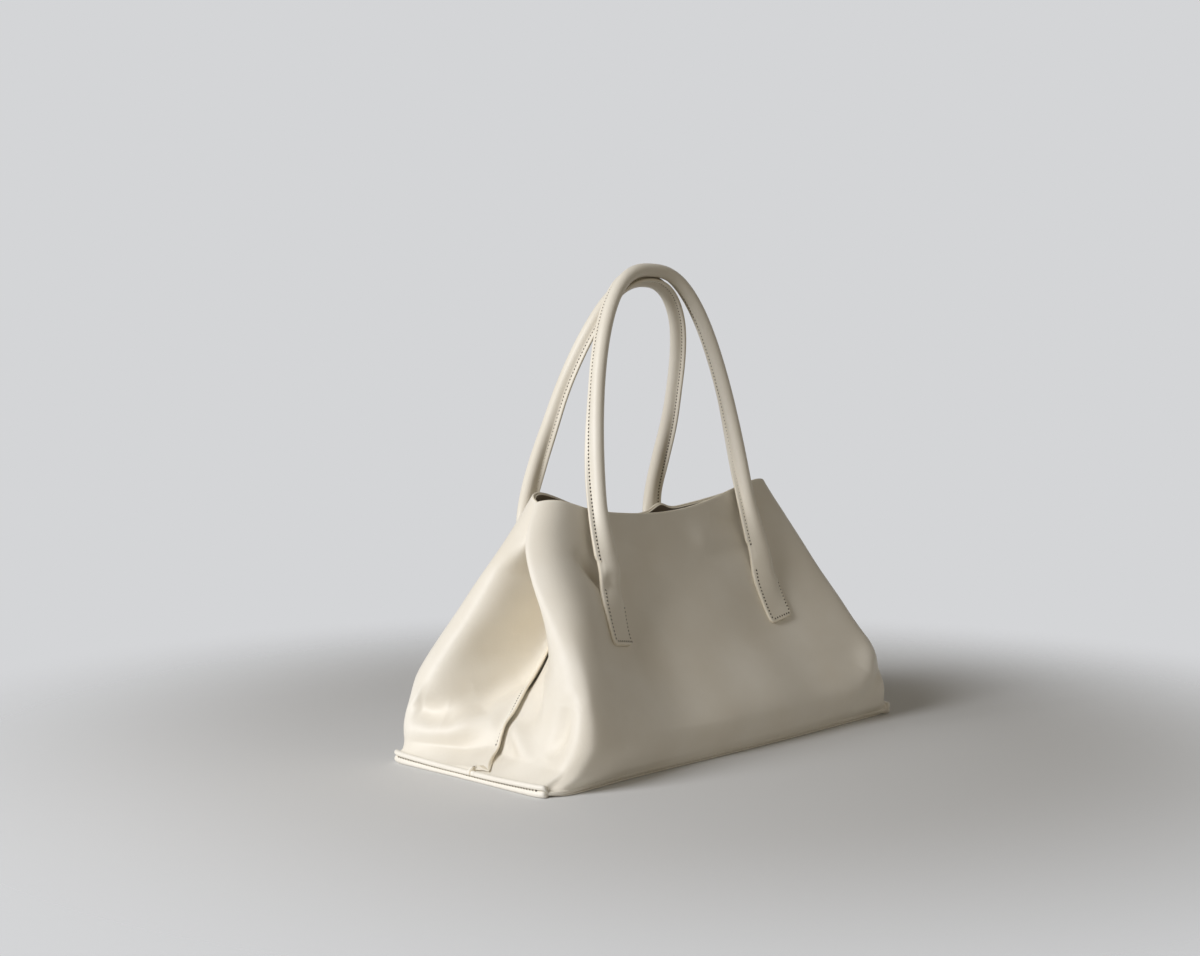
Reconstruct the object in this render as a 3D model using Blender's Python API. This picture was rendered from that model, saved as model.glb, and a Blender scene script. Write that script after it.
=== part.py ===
"""A soft leather tote bag with folded gussets, two rolled handles and a magnetic snap.

Metres, +Z up, +X along the bag, the front faces -Y. The origin is the middle of the base's underside.

The wall of the bag is one surface, wall(w, s). The number w goes once round the bag: 0 is the left
gusset's crease, 9 the middle of the front, 18 the right crease and 27 the middle of the back. The
number s goes from 0 at the foot of the wall to 1 at the mouth. Every sheet of the bag is a stretch of
that surface, moved in or out by its own offset, so the layers stay in step when a size changes.
"""
import math
from functools import lru_cache

import bmesh
import bpy
import numpy as np

# Air between two pieces that touch
GAP = 0.0003

# Base
BASE_LENGTH = 0.412
BASE_DEPTH = 0.160
BASE_BOW = 0.008
BASE_LEATHER = 0.0032
BASE_EDGE = 0.0010
BOARD_THICKNESS = 0.0025
FLANGE_REACH = 0.008
FLANGE_THICKNESS = 0.0037
LONG_SEAM_REACH = 0.0006

# Wall
BAG_HEIGHT = 0.205
PANEL_LEATHER = 0.0020
GUSSET_FOLD = 0.128
CREASE_INSET = 0.002
CREASE_SHIFT = 0.005
CREASE_HALF_WIDTH = 0.005
CREASE_ARM = 0.008
ROLL_RADIUS = 0.016
ROLL_ARM = 0.015

# Mouth
MOUTH_LENGTH = 0.276
MOUTH_LENGTH_BACK = 0.256
MOUTH_WIDTH = 0.054
MOUTH_SHIFT = 0.015
CORNER_GAP = 0.003
CORNER_SHIFT = 0.006
MOUTH_DIP = 0.019
MOUTH_DIP_BACK = 0.025
CREASE_DIP = 0.015

# Inside
LINING_THICKNESS = 0.0008
FACING_THICKNESS = 0.0012
FACING_HEIGHT = 0.030
FACING_SEAM = 0.0016
FACING_LEVELS = (0.0, 0.5, 0.8, 1.0)
PATCH_THICKNESS = 0.0006
PATCH_MARGIN = 0.003

# Tabs
TAB_WIDTH = 0.027
TAB_HEIGHT = 0.0437
TAB_THICKNESS = 0.0030
TAB_CORNER = 0.0035
TAB_TOP_DROP = 0.0698
TAB_SLANT = 0.004
TAB_WIDENING = 0.3
TAB_THINNING = 0.5

# Handles
HANDLE_DIAMETER = 0.011
HANDLE_LEATHER = 0.0015
HANDLE_SEAM_WIDTH = 0.005
HANDLE_SEAM_THICKNESS = 0.0024
HANDLE_END_WIDTH = 0.025
HANDLE_END_THICKNESS = 0.0046
HANDLE_END_MARGIN = 0.002
HANDLE_SLOT_INSET = 0.005
HANDLE_SLOT_SHIFT = 0.0015
HANDLE_RISE = 0.250
HANDLE_REST_GAP = 0.0005
HANDLE_TOP_Y = 0.009
FRONT_SPREAD = 0.185
BACK_SPREAD = 0.154
FLATTENING = 0.066
SEAM_TURN = 0.160
HINGE_OUT = 0.0005

# Magnetic snap
SNAP_DIAMETER = 0.018
SOCKET_THICKNESS = 0.0035
STUD_PLATE = 0.0015
STUD_DIAMETER = 0.008
STUD_LENGTH = 0.0015
WASHER_DIAMETER = 0.014
WASHER_THICKNESS = 0.0005
SNAP_BEVEL = 0.0006
SNAP_PLAY = 0.0005
SNAP_SIDES = 24

# Shapes of the wall's lines as they climb. Each entry is a share of the way from foot to mouth.
HEIGHT_SHARES = (0.0, 0.05, 0.15, 0.30, 0.45, 0.60, 0.75, 0.88, 1.0)
FRONT_ROLL_TAPER = (0.0, 0.09, 0.22, 0.27, 0.40, 0.54, 0.66, 0.80, 1.0)
FRONT_ROLL_LEAN = (0.0, -0.077, -0.128, 0.05, 0.314, 0.55, 0.77, 0.92, 1.0)
FRONT_MIDDLE_LEAN = (0.0, -0.04, -0.03, 0.20, 0.46, 0.645, 0.80, 0.92, 1.0)
BACK_ROLL_TAPER = (0.0, 0.0, 0.03, 0.14, 0.35, 0.57, 0.75, 0.88, 1.0)
BACK_ROLL_LEAN = (0.0, -0.015, -0.045, 0.015, 0.15, 0.35, 0.59, 0.80, 1.0)
BACK_MIDDLE_LEAN = (0.0, -0.065, -0.15, -0.15, -0.02, 0.17, 0.48, 0.78, 1.0)
CREASE_FOLD = (0.0, 0.14, 0.26, 0.45, 0.61, 0.74, 0.85, 0.93, 1.0)
ROLL_SWELL = (0.375, 0.625, 0.94, 1.0, 0.875, 0.75, 0.59, 0.47, 0.41)

# Places of the two points between the middle of a face and its roll, and how late the face bends back.
FACE_SHARES = (0.34, 0.68)
FACE_BEND = 2.5

# How far the mouth's edge lies under its corners, from the crease to the middle of a face.
EDGE_DIP = (1.0, 1.0, 0.73, 0.40, 0.27, 0.13, 0.0, 0.32, 0.79, 1.0)

# Shapes of the handles, as shares of the rise and of the way from wall to top.
FRONT_LEG_LEAN = ((0.0, 0.0), (0.1, 0.165), (0.241, 0.349), (0.6, 0.68), (1.0, 1.0))
BACK_LEG_LEAN = (
    (0.0, 0.0), (0.08, -0.15), (0.16, -0.23), (0.25, -0.215), (0.37, -0.035), (0.52, 0.25),
    (0.66, 0.485), (0.78, 0.69), (0.87, 0.835), (1.0, 1.0),
)
FRONT_ARCH = (2.0, 0.385)
BACK_ARCH = (3.0, 0.44)

# Places of the rings along half a handle, closer together at its end and at its top
HANDLE_STEPS = (
    0.0, 0.02, 0.05, 0.085, 0.125, 0.17, 0.22, 0.28, 0.345, 0.415, 0.49, 0.565, 0.64, 0.715, 0.785,
    0.85, 0.91, 0.96, 1.0,
)

# Outline across a handle: its corners round the roll, and how square the flat end and its slot are.
ROLL_CORNERS = tuple(math.radians(angle) for angle in range(40, 321, 35))
SEAM_ROOT = 1.3
FLAT_SHOULDER = 0.9
FLAT_ACROSS = 0.6
FLAT_UP = 0.4
SLOT_OPENING = math.radians(10)

# Places round the bag, in w
CREASE_STEP = 18
FACE_MIDDLE = 9
ROUND = 36
LAP = 0.55
UNDERLAP = 0.5
SEAM_CLEARANCE = 0.03
LAP_RAMP_START = 0.65
LAP_RAMP_END = 1.7
FLANGE_FULL = 3.9
FLANGE_END = 5.0

# Sheet steps, finer where the leather bends tightly
QUARTER_STEPS = (0.5, 1.0, 2.0, 3.0, 3.5, 4.0, 4.5, 5.0, 5.5, 6.0, 6.5, 7.0, 7.5, 8.0)
CLIMB_STEPS = (0.0, 0.04, 0.09, 0.16, 0.24, 0.31, 0.37, 0.43, 0.49, 0.55, 0.61, 0.68, 0.77, 0.88, 1.0)
LINING_QUARTER_STEPS = (0.5, 1.0, 2.0, 3.0, 4.0, 4.5, 5.0, 6.0, 6.75, 7.5, 8.25)
LINING_CLIMB_STEPS = (0.0, 0.05, 0.11, 0.18, 0.26, 0.34, 0.42, 0.50, 0.58, 0.67, 0.82, 1.0)

# Heights of the layers in the base
BOARD_FOOT = BASE_LEATHER + GAP
WALL_FOOT = BASE_LEATHER + GAP
LINING_FLOOR_FOOT = BOARD_FOOT + BOARD_THICKNESS + GAP
LINING_FOOT = LINING_FLOOR_FOOT + LINING_THICKNESS + GAP

# Offsets of the layers from the wall's outer face, inward negative
PATCH_OUT = -(PANEL_LEATHER + 2 * GAP)
LINING_OUT = PATCH_OUT - PATCH_THICKNESS - 3 * GAP
FACING_RIM_OUT = -(PANEL_LEATHER + GAP)
FACING_OUT = FACING_RIM_OUT - WASHER_THICKNESS - 2 * GAP
TAB_SEAT = 1.5 * GAP
TAB_TOP_Z = BAG_HEIGHT - TAB_TOP_DROP
HANDLE_FOOT_GAP = 1.5 * GAP

# From left to right
MIRROR = np.array([-1.0, 1.0, 1.0])


def smooth_step(value):
    value = min(1.0, max(0.0, value))
    return value * value * (3.0 - 2.0 * value)


def unit(vector):
    return vector / np.linalg.norm(vector)


def curve_value(stations, values, place):
    """A smooth curve through hand-chosen values, read at one place."""
    last = len(stations) - 1
    part = 0
    while part < last - 1 and place > stations[part + 1]:
        part += 1

    def slope(index):
        low = max(index - 1, 0)
        high = min(index + 1, last)
        return (values[high] - values[low]) / (stations[high] - stations[low])

    span = stations[part + 1] - stations[part]
    t = (place - stations[part]) / span
    start = (2 * t**3 - 3 * t**2 + 1) * values[part] + (t**3 - 2 * t**2 + t) * span * slope(part)
    end = (-2 * t**3 + 3 * t**2) * values[part + 1] + (t**3 - t**2) * span * slope(part + 1)
    return start + end


def climb(shares, foot, mouth, s):
    return foot + (mouth - foot) * curve_value(HEIGHT_SHARES, shares, s)


def half_face(side, s):
    """Ten control points from the right crease to the middle of the front (-1) or back (1) face."""
    front = side < 0
    top_radius = ROLL_RADIUS * ROLL_SWELL[-1]
    corner_y = CORNER_SHIFT + side * (CORNER_GAP / 2 + top_radius)
    roll = np.array([
        climb(FRONT_ROLL_TAPER if front else BACK_ROLL_TAPER, BASE_LENGTH / 2,
              (MOUTH_LENGTH if front else MOUTH_LENGTH_BACK) / 2, s),
        climb(FRONT_ROLL_LEAN if front else BACK_ROLL_LEAN, side * BASE_DEPTH / 2, corner_y, s),
    ])
    middle_y = climb(FRONT_MIDDLE_LEAN if front else BACK_MIDDLE_LEAN,
                     side * (BASE_DEPTH / 2 + BASE_BOW), MOUTH_SHIFT + side * MOUTH_WIDTH / 2, s)
    crease_foot = BASE_LENGTH / 2 - CREASE_INSET
    crease = np.array([climb(CREASE_FOLD, crease_foot, crease_foot - GUSSET_FOLD, s), CREASE_SHIFT * s])
    crease_arm = crease + CREASE_ARM * unit(roll - crease)
    crease_arm[1] = crease[1] + side * max(abs(crease_arm[1] - crease[1]), CREASE_HALF_WIDTH)

    def face_point(share):
        return np.array([roll[0] * share, middle_y + (roll[1] - middle_y) * share**FACE_BEND])

    inner_face = face_point(FACE_SHARES[0])
    outer_face = face_point(FACE_SHARES[1])
    to_gusset = unit(crease_arm - roll)
    to_face = unit(outer_face - roll)
    inward = unit(to_gusset + to_face)
    across = np.array([-inward[1], inward[0]])
    if across @ to_gusset < 0:
        across = -across
    cosine = inward @ to_gusset
    sine = across @ to_gusset
    radius = ROLL_RADIUS * curve_value(HEIGHT_SHARES, ROLL_SWELL, s)
    half = (math.sqrt(radius * ROLL_ARM * cosine) - ROLL_ARM * sine / 4) / 1.5
    tip = roll - inward * ROLL_ARM * cosine / 24
    gusset_knee = tip + half * across
    face_knee = tip - half * across
    gusset_arm = gusset_knee + ROLL_ARM * to_gusset
    face_arm = face_knee + ROLL_ARM * to_face
    gusset = (crease_arm + gusset_arm) / 2
    middle = np.array([0.0, middle_y])
    return [crease, crease_arm, gusset, gusset_arm, gusset_knee, face_knee, face_arm,
            outer_face, inner_face, middle]


@lru_cache(maxsize=None)
def section(s):
    """The closed control polygon of the wall at one height, left crease first, then the front."""
    rows = []
    for side, mouth_dip in ((-1, MOUTH_DIP), (1, MOUTH_DIP_BACK)):
        dips = [CREASE_DIP * dip for dip in EDGE_DIP[:3]] + [mouth_dip * dip for dip in EDGE_DIP[3:]]
        half = [(point[0], point[1], WALL_FOOT + (BAG_HEIGHT - dip - WALL_FOOT) * s)
                for point, dip in zip(half_face(side, s), dips)]
        mirrored = [(-x, y, z) for x, y, z in half]
        if side < 0:
            rows += mirrored + half[-2:0:-1]
        else:
            rows += half + mirrored[-2:0:-1]
    return np.array(rows)


def skin(w, s):
    """A point of the wall's outer face: a cubic B-spline through its section."""
    ring = section(s)
    first = math.floor(w)
    t = w - first
    weights = ((1 - t)**3, 3 * t**3 - 6 * t**2 + 4, -3 * t**3 + 3 * t**2 + 3 * t + 1, t**3)
    return sum(weight * ring[(first + step) % ROUND] for weight, step in zip(weights, (-1, 0, 1, 2))) / 6


def outward(w, s):
    step = 0.004
    low = max(s - step, 0.0)
    along = skin(w + step, s) - skin(w - step, s)
    rising = skin(w, low + 2 * step) - skin(w, low)
    return unit(np.cross(along, rising))


def wall(w, s, offset):
    return skin(w, s) + offset * outward(w, s)


def share_at_height(w, height, offset):
    """The s where the wall, moved by its offset, stands at a given height."""
    low, high = 0.0, 0.5
    for _ in range(18):
        middle = (low + high) / 2
        if wall(w, middle, offset)[2] < height:
            low = middle
        else:
            high = middle
    return round(low, 6)


def wall_climb(w, foot_z, offset, steps, top=1.0, top_offset=None):
    """Points up the wall from a level foot to the mouth, or to a share of it."""
    foot = share_at_height(w, foot_z, offset)
    points = []
    for step in steps:
        depth = offset
        if top_offset is not None and step == steps[-1]:
            depth = top_offset
        point = wall(w, foot + (top - foot) * step, depth)
        if step == 0:
            point[2] = foot_z
        points.append(point)
    return points


def place_on_wall(side, x, z):
    """The w and s of the point of the front (-1) or back (1) face at a given x and z."""
    steps = x / (FACE_SHARES[0] * BASE_LENGTH / 2)
    w = FACE_MIDDLE + steps if side < 0 else 3 * FACE_MIDDLE - steps
    s = (z - WALL_FOOT) / (BAG_HEIGHT - WALL_FOOT)
    step = 0.002
    for _ in range(12):
        here = skin(w, s)
        by_w = (skin(w + step, s) - here) / step
        by_s = (skin(w, s + step) - here) / step
        miss = np.array([x - here[0], z - here[2]])
        turn = np.array([[by_w[0], by_s[0]], [by_w[2], by_s[2]]])
        change = np.linalg.solve(turn, miss)
        w += change[0]
        s += change[1]
    return w, s


def on_wall(side, x, z, offset):
    w, s = place_on_wall(side, x, z)
    return wall(w, s, offset)


def seam_distance(w):
    beyond = w % CREASE_STEP
    return min(beyond, CREASE_STEP - beyond)


def foot_reach(w, long_side):
    """How far the seam allowance sticks out at the foot: a flange at the ends, little elsewhere."""
    share = smooth_step((FLANGE_END - seam_distance(w)) / (FLANGE_END - FLANGE_FULL))
    return long_side + (FLANGE_REACH - long_side) * share


def foot_outline(w, reach, height):
    step = 0.01
    along = skin(w + step, 0.0) - skin(w - step, 0.0)
    sideways = unit(np.array([along[1], -along[0], 0.0]))
    point = skin(w, 0.0) + reach * sideways
    point[2] = height
    return point


def material(name, colour, roughness, metallic=0.0):
    found = bpy.data.materials.get(name)
    if found:
        return found
    made = bpy.data.materials.new(name)
    made.use_nodes = True
    shader = made.node_tree.nodes["Principled BSDF"]
    shader.inputs["Base Color"].default_value = (*colour, 1.0)
    shader.inputs["Roughness"].default_value = roughness
    shader.inputs["Metallic"].default_value = metallic
    made.diffuse_color = (*colour, 1.0)
    return made


def cream_leather():
    return material("cream_leather", (0.83, 0.77, 0.66), 0.45)


def lining_cloth():
    return material("lining_cloth", (0.22, 0.17, 0.13), 0.9)


def stiff_board():
    return material("stiff_board", (0.35, 0.28, 0.20), 0.85)


def core_rope():
    return material("core_rope", (0.72, 0.66, 0.55), 0.9)


def snap_metal():
    return material("snap_metal", (0.62, 0.60, 0.56), 0.3, 1.0)


def add_object(name, points, faces, finish, smooth=True):
    mesh = bpy.data.meshes.new(name)
    mesh.from_pydata([tuple(point) for point in points], [], faces)
    shape = bmesh.new()
    shape.from_mesh(mesh)
    bmesh.ops.recalc_face_normals(shape, faces=shape.faces)
    shape.to_mesh(mesh)
    shape.free()
    if smooth:
        mesh.shade_smooth()
        mesh.set_sharp_from_angle(angle=math.radians(40))
    mesh.materials.append(finish)
    made = bpy.data.objects.new(name, mesh)
    bpy.context.collection.objects.link(made)
    return made


def sheet_solid(name, outer, inner, finish):
    """A sheet: two grids of points, joined round their four edges."""
    rows = len(outer)
    columns = len(outer[0])
    points = [point for grid in (outer, inner) for row in grid for point in row]

    def at(layer, row, column):
        return (layer * rows + row) * columns + column

    faces = []
    for layer in (0, 1):
        for row in range(rows - 1):
            for column in range(columns - 1):
                faces.append((at(layer, row, column), at(layer, row, column + 1),
                              at(layer, row + 1, column + 1), at(layer, row + 1, column)))
    border = [(0, column) for column in range(columns)]
    border += [(row, columns - 1) for row in range(1, rows)]
    border += [(rows - 1, column) for column in range(columns - 2, -1, -1)]
    border += [(row, 0) for row in range(rows - 2, 0, -1)]
    for here, there in zip(border, border[1:] + border[:1]):
        faces.append((at(0, *here), at(0, *there), at(1, *there), at(1, *here)))
    return add_object(name, points, faces, finish)


def plate(name, outline, low, high, finish):
    count = len(outline)
    points = [(x, y, low) for x, y in outline] + [(x, y, high) for x, y in outline]
    faces = [tuple(range(count)), tuple(range(count, 2 * count))]
    for here in range(count):
        there = (here + 1) % count
        faces.append((here, there, count + there, count + here))
    return add_object(name, points, faces, finish, smooth=False)


def tube_solid(name, rings, bore, finish):
    """A tube swept through its rings, hollow if it has a bore, with flat ends."""
    count = len(rings[0])
    layers = [rings] if bore is None else [rings, bore]
    points = [point for layer in layers for ring in layer for point in ring]
    total = len(rings) * count
    faces = []
    for layer in range(len(layers)):
        for ring in range(len(rings) - 1):
            for side in range(count):
                here = layer * total + ring * count
                after = (side + 1) % count
                faces.append((here + side, here + after, here + count + after, here + count + side))
    for ring in (0, len(rings) - 1):
        here = ring * count
        if bore is None:
            faces.append(tuple(range(here, here + count)))
            continue
        for side in range(count):
            after = (side + 1) % count
            faces.append((here + side, here + after, total + here + after, total + here + side))
    return add_object(name, points, faces, finish)


def columns_between(start, end, quarter):
    """Sheet columns over a stretch of the wall, in the same places for every layer."""
    marks = set()
    for turn in range(-2, 6):
        middle = turn * FACE_MIDDLE
        marks.add(float(middle))
        for step in quarter:
            if turn % 2 == 0:
                marks.add(middle + step)
                marks.add(middle - step)
    inside = [mark for mark in sorted(marks) if start + 0.05 < mark < end - 0.05]
    return [start] + inside + [end]


def lap_share(w, laps):
    """1 where the back panel lies over the front one, 0 where it is down on its own course."""
    if not laps:
        return 0.0
    beyond = w % ROUND
    past_seam = min(abs(beyond - CREASE_STEP), beyond, ROUND - beyond)
    on_front = 0 < beyond < CREASE_STEP
    if on_front:
        return 1.0
    return 1.0 - smooth_step((past_seam - LAP_RAMP_START) / (LAP_RAMP_END - LAP_RAMP_START))


def wall_panel(name, start, end, laps):
    outer = []
    inner = []
    for w in columns_between(start, end, QUARTER_STEPS):
        lift = lap_share(w, laps)
        offset = lift * (PANEL_LEATHER + GAP)
        foot = WALL_FOOT + lift * (FLANGE_THICKNESS + GAP)
        reach = foot_reach(w, LONG_SEAM_REACH)
        outer.append([foot_outline(w, reach, foot + FLANGE_THICKNESS)]
                     + wall_climb(w, foot + FLANGE_THICKNESS + GAP, offset, CLIMB_STEPS))
        inner.append([foot_outline(w, reach, foot)]
                     + wall_climb(w, foot, offset - PANEL_LEATHER, CLIMB_STEPS))
    return sheet_solid(name, outer, inner, cream_leather())


def lining_wall(name, start, end):
    top = 1.0 - (FACING_HEIGHT + FACING_SEAM) / (BAG_HEIGHT - WALL_FOOT)
    outer = []
    inner = []
    for w in columns_between(start, end, LINING_QUARTER_STEPS):
        outer.append(wall_climb(w, LINING_FOOT, LINING_OUT, LINING_CLIMB_STEPS, top))
        inner.append(wall_climb(w, LINING_FOOT, LINING_OUT - LINING_THICKNESS, LINING_CLIMB_STEPS, top))
    return sheet_solid(name, outer, inner, lining_cloth())


def mouth_facing(name, start, end):
    share = FACING_HEIGHT / (BAG_HEIGHT - WALL_FOOT)
    levels = [(1.0 - share * (1.0 - level), FACING_RIM_OUT if level == 1.0 else FACING_OUT)
              for level in FACING_LEVELS]
    outer = []
    inner = []
    for w in columns_between(start, end, QUARTER_STEPS):
        outer.append([wall(w, s, offset) for s, offset in levels])
        inner.append([wall(w, s, offset - FACING_THICKNESS) for s, offset in levels])
    return sheet_solid(name, outer, inner, cream_leather())


def base_sheets():
    around = columns_between(0.0, float(ROUND), QUARTER_STEPS)[:-1]
    outline = [foot_outline(w, foot_reach(w, BASE_EDGE), 0.0)[:2] for w in around]
    plate("base_panel", outline, 0.0, BASE_LEATHER, cream_leather())

    def inside(height):
        """The widest outline that clears the panels up to a height."""
        clear = -(PANEL_LEATHER + 5 * GAP)
        ring = []
        for w in around:
            low = wall(w, 0.0, clear)[:2]
            high = wall(w, share_at_height(w, height, clear), clear)[:2]
            ring.append(min((low, high), key=np.linalg.norm))
        return ring

    board_top = BOARD_FOOT + BOARD_THICKNESS
    plate("base_board", inside(board_top), BOARD_FOOT, board_top, stiff_board())
    floor_top = LINING_FLOOR_FOOT + LINING_THICKNESS
    plate("lining_floor", inside(floor_top), LINING_FLOOR_FOOT, floor_top, lining_cloth())


def strip_on_wall(name, side, x_of, width_of, top_z, bottom_z, near, far, finish):
    """A stitched strip that follows a face of the wall, with rounded bottom corners."""
    height = top_z - bottom_z
    round_steps = (0.0, 0.08, 0.3, 1.0)
    downs = [height * share for share in (0.0, 0.2, 0.4, 0.6, 0.8)]
    downs += [height - TAB_CORNER * step for step in reversed(round_steps)]
    grids = ([], [])
    for down in downs:
        share = down / height
        short = max(0.0, TAB_CORNER - (height - down))
        narrow = TAB_CORNER - math.sqrt(TAB_CORNER**2 - short**2)
        half = width_of(share) / 2 - narrow
        for grid, offset in zip(grids, (far(share), near)):
            grid.append([on_wall(side, x_of(share) + across * half, top_z - down, offset)
                         for across in (-1.0, -0.5, 0.0, 0.5, 1.0)])
    return sheet_solid(name, grids[0], grids[1], finish)


def tab_and_patch(side, end, spread):
    face = "front" if side < 0 else "back"
    hand = "left" if end < 0 else "right"

    def centre_x(share):
        return end * (spread / 2 + TAB_SLANT * share)

    def tab_width(share):
        return HANDLE_END_WIDTH + (TAB_WIDTH - HANDLE_END_WIDTH) * smooth_step(share / TAB_WIDENING)

    def tab_face(share):
        slope = smooth_step(share / TAB_THINNING)
        return TAB_SEAT + HANDLE_END_THICKNESS + (TAB_THICKNESS - HANDLE_END_THICKNESS) * slope

    strip_on_wall(f"{face}_tab_{hand}", side, centre_x, tab_width, TAB_TOP_Z,
                  TAB_TOP_Z - TAB_HEIGHT, TAB_SEAT, tab_face, cream_leather())
    strip_on_wall(f"{face}_patch_{hand}", side, centre_x, lambda share: TAB_WIDTH + 2 * PATCH_MARGIN,
                  TAB_TOP_Z, TAB_TOP_Z - TAB_HEIGHT - PATCH_MARGIN,
                  PATCH_OUT - PATCH_THICKNESS, lambda share: PATCH_OUT, stiff_board())


def handle_foot(side, spread):
    """Where the left end of a handle meets its tab: the place, the way up and the way into the bag."""
    foot_w, foot_s = place_on_wall(side, -spread / 2, TAB_TOP_Z)
    normal = outward(foot_w, foot_s)
    level = unit(np.cross((0.0, 0.0, 1.0), normal))
    upward = np.cross(normal, level)
    place = wall(foot_w, foot_s, TAB_SEAT + HANDLE_END_THICKNESS / 2) + upward * HANDLE_FOOT_GAP
    return place, upward, -normal


def handle_route(foot, spread, top_y, top_z, leg_lean, arch):
    """Points along one handle from its left end to its right end."""
    shares = [pair[0] for pair in leg_lean]
    leans = [pair[1] for pair in leg_lean]
    power, root = arch
    fine = []
    for step in range(401):
        share = math.sin(math.pi / 2 * step / 400)
        fine.append((
            -spread / 2 * max(0.0, 1 - share**power)**root,
            foot[1] + (top_y - foot[1]) * curve_value(shares, leans, share),
            foot[2] + (top_z - foot[2]) * share,
        ))
    fine = np.array(fine)
    lengths = np.concatenate([[0.0], np.cumsum(np.linalg.norm(np.diff(fine, axis=0), axis=1))])
    marks = [lengths[-1] * step for step in HANDLE_STEPS]
    left = [np.array([np.interp(mark, lengths, fine[:, axis]) for axis in range(3)]) for mark in marks]
    right = [point * MIRROR for point in reversed(left[:-1])]
    return left + right


def handle_frames(route, upward, inward, side):
    """Two axes across the handle at each point: one along its seam flange, one square to it.

    At the top the flange faces the other handle. At the ends it lies along the wall, to the left on
    the front handle and to the right on the back one.
    """
    frames = []
    last = len(route) - 1
    for index, point in enumerate(route):
        above = point[2] - route[0][2]
        turn = 1.0 if index <= last / 2 else MIRROR
        if index in (0, last):
            along = upward if index == 0 else -upward * MIRROR
        else:
            along = unit(route[index + 1] - route[index - 1])
        facing = np.array([0.0, -float(side), 0.0])
        facing = facing + (inward * turn - facing) * (1.0 - smooth_step(above / FLATTENING))
        facing = unit(facing - (facing @ along) * along)
        square = np.cross(along, facing)
        quarter = math.pi / 2 * (1.0 - smooth_step(above / SEAM_TURN))
        sense = math.copysign(1.0, square[0] * side)
        seam = facing * math.cos(quarter) + square * math.sin(quarter) * sense
        frames.append((seam, np.cross(along, seam)))
    return frames


def squarish(angle):
    """A point of a rounded bar's outline, at an angle, in shares of its half width and thickness."""
    across = math.copysign(abs(math.cos(angle))**FLAT_ACROSS, math.cos(angle))
    up = math.copysign(abs(math.sin(angle))**FLAT_UP, math.sin(angle))
    return across, up


def handle_profile(flat):
    """Outer and bore outlines across the handle: a tube with a flange, pressed flat at the ends."""
    radius = HANDLE_DIAMETER / 2
    half_seam = HANDLE_SEAM_THICKNESS / 2
    half_root = SEAM_ROOT * half_seam
    root_x = math.sqrt(radius**2 - half_root**2)
    seam_x = radius + HANDLE_SEAM_WIDTH
    round_outer = [(seam_x, half_seam), (root_x, half_root)]
    round_outer += [(radius * math.cos(angle), radius * math.sin(angle)) for angle in ROLL_CORNERS]
    round_outer += [(root_x, -half_root), (seam_x, -half_seam)]

    half_width = HANDLE_END_WIDTH / 2
    half_thick = HANDLE_END_THICKNESS / 2
    body_half = half_width - HANDLE_END_MARGIN
    shoulder = (half_width - HANDLE_SEAM_THICKNESS, FLAT_SHOULDER * half_thick)
    flat_outer = [(half_width, half_seam), shoulder]
    for across, up in map(squarish, ROLL_CORNERS):
        flat_outer.append((across * body_half - HANDLE_END_MARGIN, up * half_thick))
    flat_outer += [(shoulder[0], -shoulder[1]), (half_width, -half_seam)]

    bore_radius = radius - HANDLE_LEATHER
    slot_half_width = half_width - HANDLE_SLOT_INSET
    slot_half_height = half_thick - HANDLE_LEATHER
    count = len(round_outer)
    outer = []
    bore = []
    for index in range(count):
        angle = SLOT_OPENING + (2 * math.pi - 2 * SLOT_OPENING) * index / (count - 1)
        across, up = squarish(angle)
        round_bore = (bore_radius * math.cos(angle), bore_radius * math.sin(angle))
        flat_bore = (across * slot_half_width - HANDLE_SLOT_SHIFT, up * slot_half_height)
        outer.append(tuple(a + (b - a) * flat for a, b in zip(round_outer[index], flat_outer[index])))
        bore.append(tuple(a + (b - a) * flat for a, b in zip(round_bore, flat_bore)))
    return outer, bore


def handle(name, side, spread, top_y, top_z, leg_lean, arch):
    foot, upward, inward = handle_foot(side, spread)
    route = handle_route(foot, spread, top_y, top_z, leg_lean, arch)
    frames = handle_frames(route, upward, inward, side)
    rings = []
    bores = []
    cores = []
    core_radius = HANDLE_DIAMETER / 2 - HANDLE_LEATHER - GAP
    for point, (seam, square) in zip(route, frames):
        above = point[2] - route[0][2]
        flat = 1.0 - smooth_step(above / FLATTENING)
        outer, bore = handle_profile(flat)
        rings.append([point + a * seam + b * square for a, b in outer])
        bores.append([point + a * seam + b * square for a, b in bore])
        if above > FLATTENING:
            angles = [math.pi / 4 * step for step in range(8)]
            cores.append([point + core_radius * (math.cos(angle) * seam + math.sin(angle) * square)
                          for angle in angles])
    hinge = max(rings[0], key=lambda corner: side * corner[1])
    pivot = bpy.data.objects.new(f"{name}_hinge", None)
    pivot.location = (0.0, hinge[1] + side * HINGE_OUT, hinge[2])
    bpy.context.collection.objects.link(pivot)
    made = [tube_solid(name, rings, bores, cream_leather()),
            tube_solid(f"{name}_cord", cores, None, core_rope())]
    for piece in made:
        piece.parent = pivot
        piece.matrix_parent_inverse.translation = -pivot.location
    print(name, "hinge", [round(value, 5) for value in pivot.location])


def turned(name, profile, centre, axis, finish):
    """A round piece turned about an axis, from its profile of (radius, height) points."""
    axis = unit(axis)
    first = unit(np.cross(axis, (0.0, 0.0, 1.0)))
    second = np.cross(axis, first)
    turns = [2 * math.pi * step / SNAP_SIDES for step in range(SNAP_SIDES)]
    rings = []
    for radius, height in profile:
        rings.append([centre + axis * height + radius * (math.cos(turn) * first + math.sin(turn) * second)
                      for turn in turns])
    return tube_solid(name, rings, None, finish)


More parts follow.
